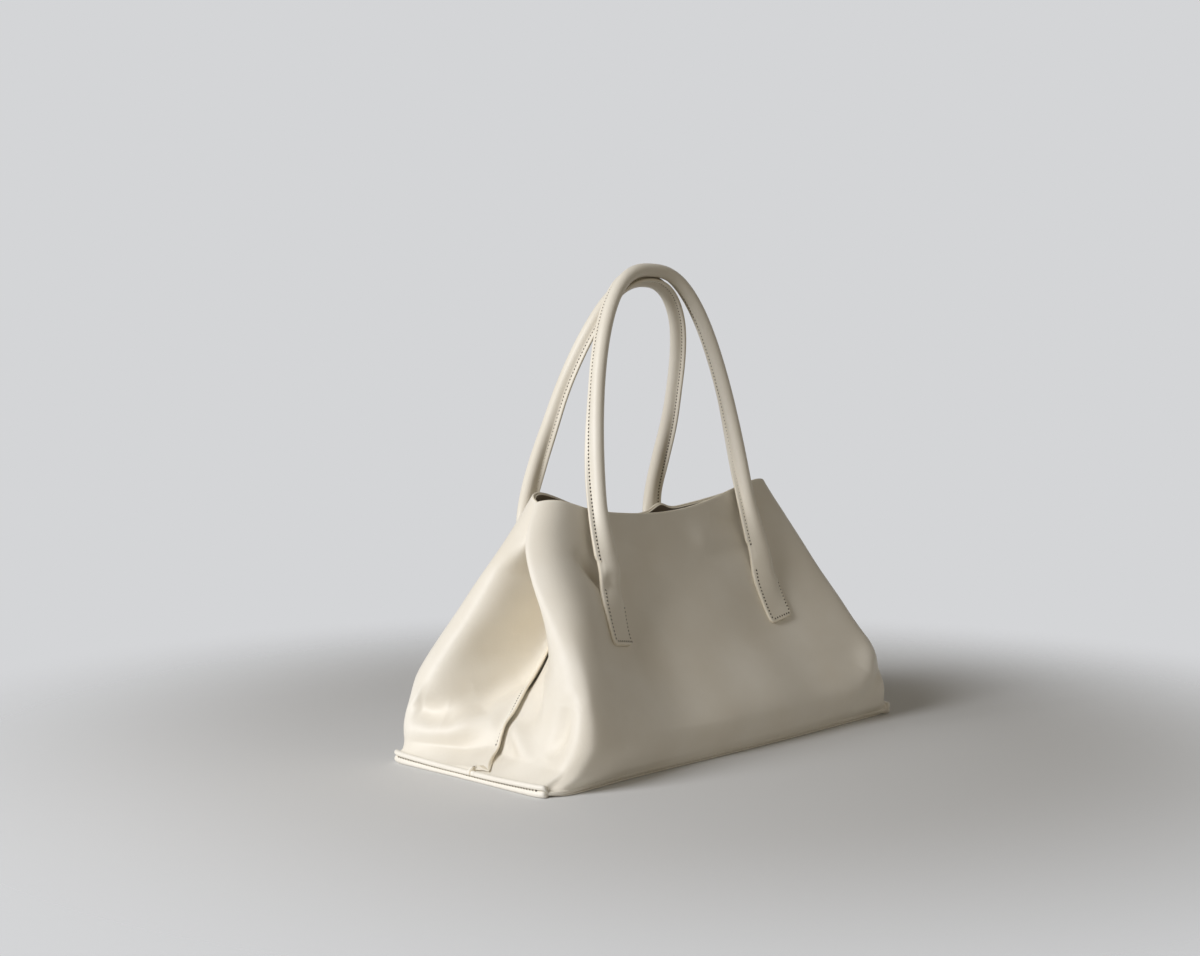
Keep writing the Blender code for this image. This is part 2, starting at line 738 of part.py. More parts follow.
def snap_half(side):
    z = BAG_HEIGHT - (MOUTH_DIP if side < 0 else MOUTH_DIP_BACK) - FACING_HEIGHT / 2
    w, s = place_on_wall(side, 0.0, z)
    inward = -outward(w, s)
    seat = wall(w, s, FACING_OUT - FACING_THICKNESS - GAP)
    behind = wall(w, s, FACING_RIM_OUT)
    radius = SNAP_DIAMETER / 2
    stud_radius = STUD_DIAMETER / 2
    washer = [(WASHER_DIAMETER / 2, 0.0), (WASHER_DIAMETER / 2, WASHER_THICKNESS)]
    if side < 0:
        name = "snap_socket"
        height = SOCKET_THICKNESS
        inside = stud_radius + SNAP_PLAY
        nose = [(inside, height), (inside, height - STUD_LENGTH - GAP)]
    else:
        name = "snap_stud"
        height = STUD_PLATE
        nose = [(stud_radius, height), (stud_radius, height + STUD_LENGTH)]
    rim = [(radius, 0.0), (radius, height - SNAP_BEVEL), (radius - SNAP_BEVEL, height)]
    turned(name, rim + nose, seat, inward, snap_metal())
    turned(f"{name}_washer", washer, behind, inward, snap_metal())


def build():
    for item in list(bpy.data.objects):
        bpy.data.objects.remove(item, do_unlink=True)
    wall_panel("front_panel", -UNDERLAP, CREASE_STEP + UNDERLAP, False)
    wall_panel("back_panel", CREASE_STEP - LAP, ROUND + LAP, True)
    base_sheets()
    front_half = (SEAM_CLEARANCE, CREASE_STEP - SEAM_CLEARANCE)
    back_half = (CREASE_STEP + SEAM_CLEARANCE, ROUND - SEAM_CLEARANCE)
    lining_wall("lining_front", *front_half)
    lining_wall("lining_back", *back_half)
    mouth_facing("facing_front", *front_half)
    mouth_facing("facing_back", *back_half)
    for side, spread in ((-1, FRONT_SPREAD), (1, BACK_SPREAD)):
        for end in (-1, 1):
            tab_and_patch(side, end, spread)
        snap_half(side)
    top_z = TAB_TOP_Z + HANDLE_RISE
    apart = (HANDLE_DIAMETER + HANDLE_REST_GAP) / math.sqrt(2)
    handle("front_handle", -1, FRONT_SPREAD, HANDLE_TOP_Y, top_z, FRONT_LEG_LEAN, FRONT_ARCH)
    handle("back_handle", 1, BACK_SPREAD, HANDLE_TOP_Y + apart, top_z - apart, BACK_LEG_LEAN, BACK_ARCH)


build()
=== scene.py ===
# %% [markdown]
# # A soft cream leather tote bag
#
# The real bag is a limp shell of nappa leather. It stands on a stiff base, its two ends are folded
# inward as gussets, and two rolled handles rise from flat stitched tabs. This lesson dresses the fixed
# frame of the bag piece by piece. Every length is in metres, +Z is up, +X runs along the bag, and the
# front face looks towards -Y. The frame comes first, because most pieces ride on one of its bodies.

# %% Load the fixed frame
import math

import bpy
import numpy as np
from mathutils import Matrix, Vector


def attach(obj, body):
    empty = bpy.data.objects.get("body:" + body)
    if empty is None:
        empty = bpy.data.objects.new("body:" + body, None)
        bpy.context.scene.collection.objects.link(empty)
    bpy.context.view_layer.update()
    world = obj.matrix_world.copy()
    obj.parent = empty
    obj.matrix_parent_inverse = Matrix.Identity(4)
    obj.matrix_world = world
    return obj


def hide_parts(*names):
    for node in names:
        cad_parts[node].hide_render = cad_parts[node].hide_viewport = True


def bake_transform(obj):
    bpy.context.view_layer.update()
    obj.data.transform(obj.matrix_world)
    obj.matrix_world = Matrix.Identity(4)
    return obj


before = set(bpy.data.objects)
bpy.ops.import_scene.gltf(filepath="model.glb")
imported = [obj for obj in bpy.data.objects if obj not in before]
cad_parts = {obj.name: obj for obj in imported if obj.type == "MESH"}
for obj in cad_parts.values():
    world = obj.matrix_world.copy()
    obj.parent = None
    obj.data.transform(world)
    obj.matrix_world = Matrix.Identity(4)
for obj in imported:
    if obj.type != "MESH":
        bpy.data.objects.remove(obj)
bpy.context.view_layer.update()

# %% [markdown]
# ## The camera
#
# The picture was taken from the front left, a little above the mouth of the bag. A lens of 51 mm on a
# 36 mm wide sensor gives its perspective. The place and the heading were solved from the corners of the
# base and the stitched tabs, which are mirror pairs on the real bag.

# %% Camera
SENSOR_MM, LENS_MM = 36.0, 51.0
CAMERA_PLACE, LOOK_DOWN, HEADING = (-1.038, -0.938, 0.302), 3.58, -45.9
camera_data = bpy.data.cameras.new("photo_camera")
camera_data.sensor_width = SENSOR_MM
camera_data.lens = LENS_MM
camera_data.clip_start = 0.05
camera = bpy.data.objects.new("photo_camera", camera_data)
camera.location = CAMERA_PLACE
camera.rotation_euler = (math.radians(90.0 - LOOK_DOWN), 0.0, math.radians(HEADING))
bpy.context.scene.collection.objects.link(camera)
bpy.context.scene.camera = camera
print("camera is turned by", [round(x, 3) for x in camera.rotation_euler], "radians")

# %% [markdown]
# ## Helpers for colour and nodes
#
# Colours are written as the hex values that a paint chart uses, and one function turns them to the
# linear numbers that the shader works in. One more function adds a node with its settings and links, so
# that each material below reads as a recipe. The Scale of a noise is how many of its marks fit in a
# metre, so 1000 is a mark each millimetre. The bands of a wave lie 0.314 / Scale metres apart, or
# 0.363 / Scale where they run slanted.

# %% Colour and node helpers
def linear(hex_colour):
    """An sRGB hex colour as linear red, green, blue and alpha."""
    channels = [int(hex_colour[index:index + 2], 16) / 255 for index in (1, 3, 5)]
    return tuple(c / 12.92 if c <= 0.04045 else ((c + 0.055) / 1.055)**2.4 for c in channels) + (1.0,)


def add_node(tree, kind, settings=None, values=None, links=None):
    """Adds a node. settings are its properties, values its sockets' numbers, links its inputs' sources."""
    node = tree.nodes.new(kind)
    for name, value in (settings or {}).items():
        setattr(node, name, value)
    for socket, value in (values or {}).items():
        node.inputs[socket].default_value = value
    for socket, source in (links or {}).items():
        tree.links.new(source, node.inputs[socket])
    return node


def new_material(name, constants):
    """A material with only its Principled shader, whose sockets take the constants, and a place on it."""
    made = bpy.data.materials.new(name)
    made.use_nodes = True
    shader = made.node_tree.nodes["Principled BSDF"]
    for socket, value in constants.items():
        shader.inputs[socket].default_value = value
    place = add_node(made.node_tree, "ShaderNodeTexCoord").outputs["Object"]
    return made, made.node_tree, shader, place


print("cream reads as", [round(x, 3) for x in linear("#EBE4D5")])

# %% [markdown]
# ## Smooth nappa leather
#
# The shell is drum-dyed calf nappa with a thin satin topcoat. To the eye it is a soft cream with a
# broad satin highlight and a pore grain that is only just there. The pores are about 0.7 mm apart. They
# are drawn at 1.1 mm, because finer ones vanish between the render's pixels. Between them run soft
# creases 4.5 mm apart, and the dye lies in faint, slightly yellower clouds 60 mm wide. Rubbed ridges are
# paler: a node that reads how sharply the mesh bends finds them.

# %% Nappa leather
PORE_SPACING, CREASE_SPACING, CLOUD_SPACING = 0.0011, 0.0045, 0.060
NAPPA = {"IOR": 1.47, "Specular IOR Level": 0.42, "Sheen Weight": 0.06, "Sheen Roughness": 0.4}
NOISE, WAVE, BUMP = "ShaderNodeTexNoise", "ShaderNodeTexWave", "ShaderNodeBump"


def nappa_leather(name, base_hex, deep_hex, pale_hex, roughness):
    made, tree, shader, place = new_material(name, NAPPA)
    cloud = add_node(tree, NOISE, values={"Scale": 1 / CLOUD_SPACING, "Detail": 3.0}, links={"Vector": place})
    tone = add_node(tree, "ShaderNodeValToRGB", links={"Fac": cloud.outputs["Fac"]})
    for stop, position, colour in zip(tone.color_ramp.elements, (0.30, 0.68), (deep_hex, base_hex)):
        stop.position = position
        stop.color = linear(colour)
    bend = add_node(tree, "ShaderNodeNewGeometry")
    rub = add_node(tree, "ShaderNodeMapRange", values={"From Min": 0.505, "From Max": 0.56},
                   links={"Value": bend.outputs["Pointiness"]})
    worn = add_node(tree, "ShaderNodeMix", {"data_type": "RGBA"}, {7: linear(pale_hex)},
                    {"Factor": rub.outputs["Result"], 6: tone.outputs["Color"]})
    tree.links.new(worn.outputs[2], shader.inputs["Base Color"])

    pores = add_node(tree, "ShaderNodeTexVoronoi", {"feature": "SMOOTH_F1"},
                     {"Scale": 1 / PORE_SPACING, "Smoothness": 0.6, "Randomness": 0.9}, {"Vector": place})
    crease_values = {"Scale": 1 / CREASE_SPACING, "Detail": 4.0, "Roughness": 0.6, "Distortion": 0.6}
    creases = add_node(tree, NOISE, values=crease_values, links={"Vector": place})
    shine = add_node(tree, "ShaderNodeMapRange",
                     values={"To Min": roughness - 0.05, "To Max": roughness + 0.07},
                     links={"Value": creases.outputs["Fac"]})
    tree.links.new(shine.outputs["Result"], shader.inputs["Roughness"])
    soft = add_node(tree, BUMP, values={"Strength": 0.30, "Distance": 0.00025},
                    links={"Height": creases.outputs["Fac"]})
    grain = add_node(tree, BUMP, values={"Strength": 0.35, "Distance": 0.00007},
                     links={"Height": pores.outputs["Distance"], "Normal": soft.outputs["Normal"]})
    tree.links.new(grain.outputs["Normal"], shader.inputs["Normal"])
    return made


shell_nappa = nappa_leather("drum_dyed_cream_nappa", "#EBE5D8", "#E3DBCB", "#F2EDE2", 0.46)
roll_nappa = nappa_leather("rolled_handle_nappa", "#EAE3D4", "#E1D8C6", "#F1EBDE", 0.44)
print("leathers:", shell_nappa.name, roll_nappa.name)

# %% [markdown]
# ## Painted edges, thread and needle holes
#
# Cut leather edges are sealed with a few coats of acrylic edge paint and then burnished, so they are
# smoother and a little yellower than the grain side, with streaks 1.1 mm apart. The thread is bonded
# polyester. Its plies catch the light as fine slanted lines 0.4 mm apart. The needle leaves a hole at
# the end of each stitch, and these holes show as a row of small dark dots: each is a dark disc, painted
# shade for the hollow of the hole. One recipe serves them and the inside too: marks that wander between
# two tones of the same stuff.

# %% Edge paint, thread and holes
RELIEF = 0.0002


def toned_finish(name, tones, marks, constants, strength=0.0, raised=None):
    """A finish whose marks wander between two tones. With a strength, they or the raised marks stand up."""
    made, tree, shader, place = new_material(name, constants)
    toned = add_node(tree, *marks, {"Vector": place})
    tone = add_node(tree, "ShaderNodeMix", {"data_type": "RGBA"},
                    {6: linear(tones[0]), 7: linear(tones[1])}, {"Factor": toned.outputs["Fac"]})
    tree.links.new(tone.outputs[2], shader.inputs["Base Color"])
    if strength:
        height = add_node(tree, *raised, {"Vector": place}) if raised else toned
        bump = add_node(tree, BUMP, values={"Strength": strength, "Distance": RELIEF},
                        links={"Height": height.outputs["Fac"]})
        tree.links.new(bump.outputs["Normal"], shader.inputs["Normal"])
    return made


painted_edge = toned_finish("burnished_edge_paint", ("#E0D5BE", "#EDE5D3"),
                            (NOISE, {}, {"Scale": 900.0, "Detail": 2.0}), {"Roughness": 0.38, "IOR": 1.49})
thread = toned_finish("bonded_polyester_thread", ("#D8CDB6", "#EDE5D5"),
                      (WAVE, {"bands_direction": "DIAGONAL"}, {"Scale": 900.0, "Distortion": 1.0}),
                      {"Roughness": 0.55, "IOR": 1.57})
# needle holes: dark discs, painted shade for the hollow of each hole
hole = toned_finish("needle_hole_shadow", ("#2A2218", "#453827"), (NOISE, {}, {"Scale": 700.0}),
                    {"Roughness": 0.9})
print("edge and seam finishes:", painted_edge.name, thread.name, hole.name)

# %% [markdown]
# ## Lining, board, rope and plated steel
#
# The inside shows only as a dark taupe slot between the two faces. The facing at the mouth is a split of
# the hide with its flesh side out, buffed to a nap whose strokes are 4 mm apart. Its tones are dark
# partly as the flesh side's own taupe and partly as painted shade, for the little light inside the mouth.
# Below it, such linings are a microsuede woven from threads 0.4 mm apart, drawn at 0.8 mm, under a short
# nap. The board is pressed cellulose with clumps of fibre 3 mm apart, and the handles' core is a twisted
# cotton rope with 1 mm tufts of fluff. The snap is steel with a satin nickel plate, and the turned metal
# under it leaves faint marks 0.7 mm apart.

# %% Inside finishes
NAP = {"Detail": 5.0, "Roughness": 0.7}
lining_cloth = toned_finish("woven_taupe_microsuede", ("#695846", "#8C7861"),
                            (NOISE, {}, {"Scale": 220.0, **NAP}), {"Roughness": 0.92, "Sheen Weight": 0.35},
                            0.3, (WAVE, {}, {"Scale": 400.0, "Distortion": 0.6}))
# the facing's flesh side: its dark tones are part its own taupe and part painted shade inside the mouth
flesh_side_painted_shade = toned_finish("sueded_flesh_side_with_painted_shade", ("#6F6150", "#8F8069"),
                          (NOISE, {}, {"Scale": 260.0, **NAP}), {"Roughness": 0.92, "Sheen Weight": 0.2}, 0.4)
fibre_board = toned_finish("pressed_fibre_board", ("#8B7659", "#B39C79"),
                           (NOISE, {}, {"Scale": 350.0, "Detail": 6.0, "Distortion": 1.5}),
                           {"Roughness": 0.85})
rope_cotton = toned_finish("twisted_cotton_rope", ("#CFC4AC", "#E8DFCB"),
                           (NOISE, {}, {"Scale": 900.0, "Detail": 3.0}), {"Roughness": 0.9})


def nickel_plate():
    plate = {"Base Color": linear("#BDB7AC"), "Metallic": 1.0}
    made, tree, shader, place = new_material("satin_nickel_plate", plate)
    marks = add_node(tree, NOISE, values={"Scale": 1500.0, "Detail": 2.0}, links={"Vector": place})
    gloss = add_node(tree, "ShaderNodeMapRange", values={"To Min": 0.24, "To Max": 0.36},
                     links={"Value": marks.outputs["Fac"]})
    tree.links.new(gloss.outputs["Result"], shader.inputs["Roughness"])
    return made


nickel = nickel_plate()
inside_finishes = [lining_cloth, flesh_side_painted_shade, fibre_board, rope_cotton, nickel]
print("inside finishes:", [finish.name for finish in inside_finishes])

# %% [markdown]
# ## The wall as one surface
#
# The shell is one skin that goes round the bag and up. Each height has a closed ring of 36 control
# points, and a smooth B-spline runs through it. The number w goes once round: 0 is the left gusset's
# crease, 9 the middle of the front, 18 the right crease, 27 the middle of the back. The number s climbs
# from 0 at the foot to 1 at the mouth. The lines below are the pattern of the frame's wall, so the
# leather lies where the frame's solids are. A spline is chosen over a sculpted mesh, because every layer
# of the bag can then be a stretch of the same surface.

# %% Pattern of the wall
BASE_LENGTH, BASE_DEPTH, BASE_BOW = 0.412, 0.160, 0.008
BAG_HEIGHT, WALL_FOOT, LEATHER = 0.205, 0.0035, 0.0020
MOUTH_LENGTH, MOUTH_LENGTH_BACK, MOUTH_WIDTH, MOUTH_SHIFT = 0.276, 0.256, 0.054, 0.015
ROLL_RADIUS, ROLL_ARM = 0.016, 0.015
ROUND = 36

# at these shares of the height: how far the crease is folded in, and how round the corner roll is
HEIGHT_SHARES = (0.0, 0.05, 0.15, 0.30, 0.45, 0.60, 0.75, 0.88, 1.0)
CREASE_FOLD = (0.0, 0.14, 0.26, 0.45, 0.61, 0.74, 0.85, 0.93, 1.0)
ROLL_SWELL = (0.375, 0.625, 0.94, 1.0, 0.875, 0.75, 0.59, 0.47, 0.41)
# how far the mouth's edge dips at ten places from the crease to the middle of a face
EDGE_DIP = (1.0, 1.0, 0.73, 0.40, 0.27, 0.13, 0.0, 0.32, 0.79, 1.0)
# taper, lean and middle are shares of the way from foot to mouth, one for each of the height shares
FACES = {
    "front": {
        "side": -1, "mouth": MOUTH_LENGTH, "dip": 0.019,
        "taper": (0.0, 0.09, 0.22, 0.27, 0.40, 0.54, 0.66, 0.80, 1.0),
        "lean": (0.0, -0.077, -0.128, 0.05, 0.314, 0.55, 0.77, 0.92, 1.0),
        "middle": (0.0, -0.04, -0.03, 0.20, 0.46, 0.645, 0.80, 0.92, 1.0),
    },
    "back": {
        "side": 1, "mouth": MOUTH_LENGTH_BACK, "dip": 0.025,
        "taper": (0.0, 0.0, 0.03, 0.14, 0.35, 0.57, 0.75, 0.88, 1.0),
        "lean": (0.0, -0.015, -0.045, 0.015, 0.15, 0.35, 0.59, 0.80, 1.0),
        "middle": (0.0, -0.065, -0.15, -0.15, -0.02, 0.17, 0.48, 0.78, 1.0),
    },
}
# the corner rolls at the mouth, the crease of the gusset, and the slack of a face between its rolls
CORNER_SHIFT, CORNER_GAP, GUSSET_DIP = 0.006, 0.0015, 0.015
CREASE_FOOT, CREASE_MOUTH, CREASE_SHIFT = BASE_LENGTH / 2 - 0.002, BASE_LENGTH / 2 - 0.130, 0.005
CREASE_ARM, CREASE_HALF = 0.008, 0.005
FACE_SHARES, FACE_BOW = (0.34, 0.68), 2.5
print("the wall is", BAG_HEIGHT, "m high on a base of", BASE_LENGTH, "x", BASE_DEPTH, "m")

# %% Curves through given values
def smooth_step(value):
    value = np.clip(value, 0.0, 1.0)
    return value * value * (3.0 - 2.0 * value)


def unit(vectors):
    return vectors / np.linalg.norm(vectors, axis=-1, keepdims=True)


def lengths_along(points):
    """The distance walked along a line of points, at each of them."""
    return np.concatenate([[0.0], np.cumsum(np.linalg.norm(np.diff(points, axis=0), axis=1))])


def read_line(places, lengths, points):
    """The points of a line at places along its length."""
    return np.stack([np.interp(places, lengths, points[:, axis]) for axis in range(3)], axis=-1)


def curve_value(stations, values, place):
    """A smooth curve through given values, read at one place."""
    last = len(stations) - 1
    part = int(np.clip(np.searchsorted(stations, place) - 1, 0, last - 1))

    def slope(index):
        low, high = max(index - 1, 0), min(index + 1, last)
        return (values[high] - values[low]) / (stations[high] - stations[low])

    span = stations[part + 1] - stations[part]
    t = (place - stations[part]) / span
    start = (2 * t**3 - 3 * t**2 + 1) * values[part] + (t**3 - 2 * t**2 + t) * span * slope(part)
    end = (-2 * t**3 + 3 * t**2) * values[part + 1] + (t**3 - t**2) * span * slope(part + 1)
    return start + end


def climb(shares, foot, mouth, s):
    return foot + (mouth - foot) * curve_value(HEIGHT_SHARES, shares, s)


print("half way up, the gusset is folded in by", round(curve_value(HEIGHT_SHARES, CREASE_FOLD, 0.5), 2))

# %% Where the limp wall strays from its pattern
PUSHES = [
    # axis (0 is x, 2 is z), push in mm at each control point, and the s where it starts, is full, is gone
    (0, {11: 2, 12: 5, 13: 7, 14: 7, 15: 6, 16: 3}, (0.0, 0.43, 0.85)),
    (0, {11: -1, 12: -4, 13: -6, 14: -7, 15: -6, 16: -3, 23: -2}, (0.5, 1.0, 2.0)),
    (2, {10: 2, 11: 5, 12: 5, 13: 4, 14: 3, 15: 3, 16: 1}, (0.5, 1.0, 2.0)),
    (2, {23: -4, 24: -8, 25: -8, 26: -2, 28: 2, 29: 4, 30: 4, 31: 3}, (0.5, 1.0, 2.0)),
    (0, {13: -3, 14: -5, 15: -5}, (0.85, 1.0, 2.0)),
    (2, {6: -1, 7: -6, 8: -2}, (0.5, 1.0, 2.0)),
    (0, {3: 6, 4: 10, 5: 10, 6: 6.5, 7: 2}, (-0.05, 0.38, 0.86)),
    (1, {3: -4, 4: -7, 5: -7, 6: -5, 7: -2}, (-0.05, 0.38, 0.86)),
    (0, {5: -1, 6: -8, 7: -2}, (-1.0, 0.0, 0.20)),
    (1, {5: 1, 6: -9, 7: -2}, (-1.0, 0.0, 0.20)),
    (0, {5: 3, 6: 1.5}, (0.45, 0.80, 2.0)),
    (1, {4: 3, 5: 11, 6: 0, 7: -4}, (0.36, 0.72, 2.0)),
    (0, {33: -3, 34: 12, 35: 33, 0: 31, 1: 14, 2: 3}, (0.10, 0.42, 0.88)),
    (1, {33: -3, 34: 11, 35: 29, 0: 26, 1: 9}, (0.10, 0.42, 0.88)),
    (0, {32: -3, 33: -17, 34: -24, 35: -20, 0: -16, 1: -22, 2: -22, 3: -8}, (0.72, 0.87, 2.0)),
    (1, {32: -4, 33: -7, 34: -7, 35: -2, 2: 1.5, 3: 1}, (0.72, 0.87, 2.0)),
    (0, {22: 3, 21: 17, 20: 24, 19: 20, 18: 16, 17: 22, 16: 8}, (0.72, 0.87, 2.0)),
    (1, {22: -4, 21: -7, 20: -7, 19: -2, 16: 1.5}, (0.72, 0.87, 2.0)),
]


def strayed(points, s):
    """A ring with the pushes that its height has."""
    for axis, push, (begin, full, gone) in PUSHES:
        share = smooth_step((s - begin) / (full - begin)) * (1.0 - smooth_step((s - full) / (gone - full)))
        for place, length in push.items():
            points[place, axis] += 0.001 * length * share
    return points


strongest = max(abs(length) for _, push, _ in PUSHES for length in push.values())
print(len(PUSHES), "pushes, the strongest by", strongest, "mm")

# %% One ring of control points
def half_face(face, s):
    """Ten control points from the right crease to the middle of a face, at one height."""
    side = face["side"]
    corner_y = CORNER_SHIFT + side * (CORNER_GAP + ROLL_RADIUS * ROLL_SWELL[-1])
    roll = np.array([climb(face["taper"], BASE_LENGTH / 2, face["mouth"] / 2, s),
                     climb(face["lean"], side * BASE_DEPTH / 2, corner_y, s)])
    foot_y, mouth_y = side * (BASE_DEPTH / 2 + BASE_BOW), MOUTH_SHIFT + side * MOUTH_WIDTH / 2
    middle_y = climb(face["middle"], foot_y, mouth_y, s)
    crease = np.array([climb(CREASE_FOLD, CREASE_FOOT, CREASE_MOUTH, s), CREASE_SHIFT * s])
    crease_arm = crease + CREASE_ARM * unit(roll - crease)
    crease_arm[1] = crease[1] + side * max(abs(crease_arm[1] - crease[1]), CREASE_HALF)
    inner_face, outer_face = [np.array([roll[0] * share, middle_y + (roll[1] - middle_y) * share**FACE_BOW])
                              for share in FACE_SHARES]
    to_gusset, to_face = unit(crease_arm - roll), unit(outer_face - roll)
    inward = unit(to_gusset + to_face)
    across = np.array([-inward[1], inward[0]])
    across = across if across @ to_gusset > 0 else -across
    cosine, sine = inward @ to_gusset, across @ to_gusset
    # the two arms beside the roll's tip are placed so that the spline turns with the roll's own radius
    radius = ROLL_RADIUS * curve_value(HEIGHT_SHARES, ROLL_SWELL, s)
    half = (math.sqrt(radius * ROLL_ARM * cosine) - ROLL_ARM * sine / 4) / 1.5
    tip = roll - inward * ROLL_ARM * cosine / 24
    gusset_knee, face_knee = tip + half * across, tip - half * across
    gusset_arm, face_arm = gusset_knee + ROLL_ARM * to_gusset, face_knee + ROLL_ARM * to_face
    return [crease, crease_arm, (crease_arm + gusset_arm) / 2, gusset_arm, gusset_knee, face_knee,
            face_arm, outer_face, inner_face, np.array([0.0, middle_y])]


def ring(s):
    """The closed ring of 36 control points at one height, left crease first, then the front."""
    rows = []
    for name in ("front", "back"):
        face = FACES[name]
        dips = [GUSSET_DIP * dip for dip in EDGE_DIP[:3]] + [face["dip"] * dip for dip in EDGE_DIP[3:]]
        half = [(x, y, WALL_FOOT + (BAG_HEIGHT - dip - WALL_FOOT) * s)
                for (x, y), dip in zip(half_face(face, s), dips)]
        mirrored = [(-x, y, z) for x, y, z in half]
        rows += mirrored + half[-2:0:-1] if name == "front" else half + mirrored[-2:0:-1]
    return strayed(np.array(rows), s)


print("a ring has", len(ring(0.5)), "control points")

# %% [markdown]
# ## A fine net of points on the wall
#
# Each later piece asks the same question: where is the wall at w and s, and which way does it face? One
# fine net of points answers it. The net is kept with its normals, and every sheet, tab and stitch is
# read from it.

# %% The net
def spline_weights(w):
    """How much each of the 36 control points counts at each w."""
    first = np.floor(w).astype(int)
    t = w - first
    parts = ((1 - t)**3, 3 * t**3 - 6 * t**2 + 4, -3 * t**3 + 3 * t**2 + 3 * t + 1, t**3)
    weights = np.zeros((len(w), ROUND))
    for step, part in zip((-1, 0, 1, 2), parts):
        weights[np.arange(len(w)), (first + step) % ROUND] += part / 6
    return weights


NET_STEP = 0.0014
net_rows = np.linspace(0.0, 1.0, 161)
rings = np.array([ring(s) for s in net_rows])
trial_w = np.linspace(0.0, ROUND, 7201)
trial = spline_weights(trial_w) @ rings[len(net_rows) // 3]
trial_length = lengths_along(trial)
column_marks = np.linspace(0.0, trial_length[-1], int(trial_length[-1] / NET_STEP))
net_w = np.interp(column_marks, trial_length, trial_w)
net_plain = np.einsum("cp,rpx->rcx", spline_weights(net_w), rings)
net_plain[:, -1] = net_plain[:, 0]
print("net of", net_plain.shape[0], "rows and", net_plain.shape[1], "columns;",
      "the skin is", round(trial_length[-1], 3), "m round at a third of its height")

# %% Reading the net
def with_normals(points):
    """The outward normal at each point of a net that closes on itself along its columns."""
    joined = np.concatenate([points[:, -2:-1], points, points[:, 1:2]], axis=1)
    around = joined[:, 2:] - joined[:, :-2]
    rising = np.gradient(points, axis=0)
    return unit(np.cross(around, rising))


def read_net(net, w, s):
    """The net's value at any w and s, between its columns and rows."""
    w, s = np.broadcast_arrays(np.asarray(w, float), np.asarray(s, float))
    column = np.interp(np.mod(w, ROUND), net_w, np.arange(len(net_w)))
    row = np.clip(s, 0.0, 1.0) * (len(net_rows) - 1)
    c0 = np.minimum(column.astype(int), len(net_w) - 2)
    r0 = np.minimum(row.astype(int), len(net_rows) - 2)
    u, v = (column - c0)[..., None], (row - r0)[..., None]
    low = net[r0, c0] * (1 - u) + net[r0, c0 + 1] * u
    high = net[r0 + 1, c0] * (1 - u) + net[r0 + 1, c0 + 1] * u
    return low * (1 - v) + high * v


net_plain_out = with_normals(net_plain)
print("the front's middle faces", read_net(net_plain_out, 9.0, 0.5).round(2))

# %% [markdown]
# ## Folds
#
# Soft leather that has been carried keeps folds where it was pushed and pulled. Each fold here is a
# short line on the wall with a half width and a depth, and the skin sinks or swells along it like
# plasticine under a finger. A cloth simulation would find folds of its own, but not these ones, so they
# are placed where the real bag shows them, and a slow ripple covers the rest.

# %% Fold tools
FOLD_REACH = 4.0


def fold(net, outward, line, width, depth):
    """Sinks the net (or swells it, where depth is negative) along a line of (w, s) points."""
    corners = read_net(net, [w for w, _ in line], [s for _, s in line])
    nearest = np.full(net.shape[:2], np.inf)
    share = np.zeros(net.shape[:2])
    pieces = len(corners) - 1
    for index in range(pieces):
        start, along = corners[index], corners[index + 1] - corners[index]
        t = np.clip(((net - start) @ along) / (along @ along), 0.0, 1.0)
        distance = np.linalg.norm(net - start - t[..., None] * along, axis=-1)
        closer = distance < nearest
        nearest = np.where(closer, distance, nearest)
        share = np.where(closer, (index + t) / pieces, share)
    middle_w = sum(w for w, _ in line) / len(line)
    away = np.abs((net_w - middle_w + ROUND / 2) % ROUND - ROUND / 2)[None, :]
    fade_out = np.clip(np.sin(np.pi * (0.06 + 0.88 * share)), 0.0, 1.0)**0.6
    sunk = depth * (1.0 - smooth_step(away - FOLD_REACH)) * fade_out * np.exp(-(nearest / width)**2)
    return net - outward * sunk[..., None]


def ripple(points, length, seed):
    """A slow wavy number between about -1 and 1, the same each run."""
    chance = np.random.default_rng(seed)
    total = np.zeros(points.shape[:-1])
    for _ in range(7):
        direction = chance.normal(size=3)
        direction *= 2 * np.pi / (length * np.linalg.norm(direction) * chance.uniform(0.7, 1.5))
        total += np.sin(points @ direction + chance.uniform(0.0, 6.28))
    return total / 3.0


print("a ripple at the origin:", ripple(np.zeros((1, 3)), 0.05, 1).round(3))

# %% The folds of this bag
FOLDS = [
    # line of (w, s) points, half width, depth; a negative depth is a ridge
    ([(8.0, 0.15), (8.0, 0.50), (8.3, 0.85)], 0.042, 0.0095),
    ([(6.2, 0.15), (6.3, 0.45), (6.5, 0.80)], 0.018, -0.0025),
    ([(6.75, 0.800), (7.15, 0.735), (7.35, 0.700)], 0.0068, 0.0065),
    ([(10.0, 0.950), (10.8, 0.860)], 0.0110, 0.0030),
    ([(9.3, 0.930), (9.7, 0.830)], 0.0100, -0.0026),
    ([(9.6, 0.790), (10.7, 0.760)], 0.0085, 0.0020),
    ([(11.5, 0.085), (12.4, 0.15), (13.2, 0.235)], 0.0080, 0.0042),
    ([(11.9, 0.20), (12.9, 0.30)], 0.0120, -0.0030),
    ([(31.9, 0.235), (32.5, 0.205), (33.5, 0.180)], 0.0105, 0.0088),
    ([(33.1, 0.205), (34.2, 0.240), (35.0, 0.300), (35.7, 0.400)], 0.0115, 0.0060),
    ([(32.6, 0.115), (33.8, 0.125), (34.8, 0.165), (35.6, 0.245)], 0.0110, -0.0050),
    ([(32.6, 0.050), (34.6, 0.055)], 0.0095, 0.0020),
    ([(0.9, 0.160), (1.7, 0.125), (2.5, 0.060)], 0.0085, -0.0065),
    ([(1.2, 0.330), (2.0, 0.210)], 0.0085, 0.0045),
    ([(3.9, 0.290), (3.3, 0.190), (3.0, 0.100)], 0.0085, 0.0062),
]


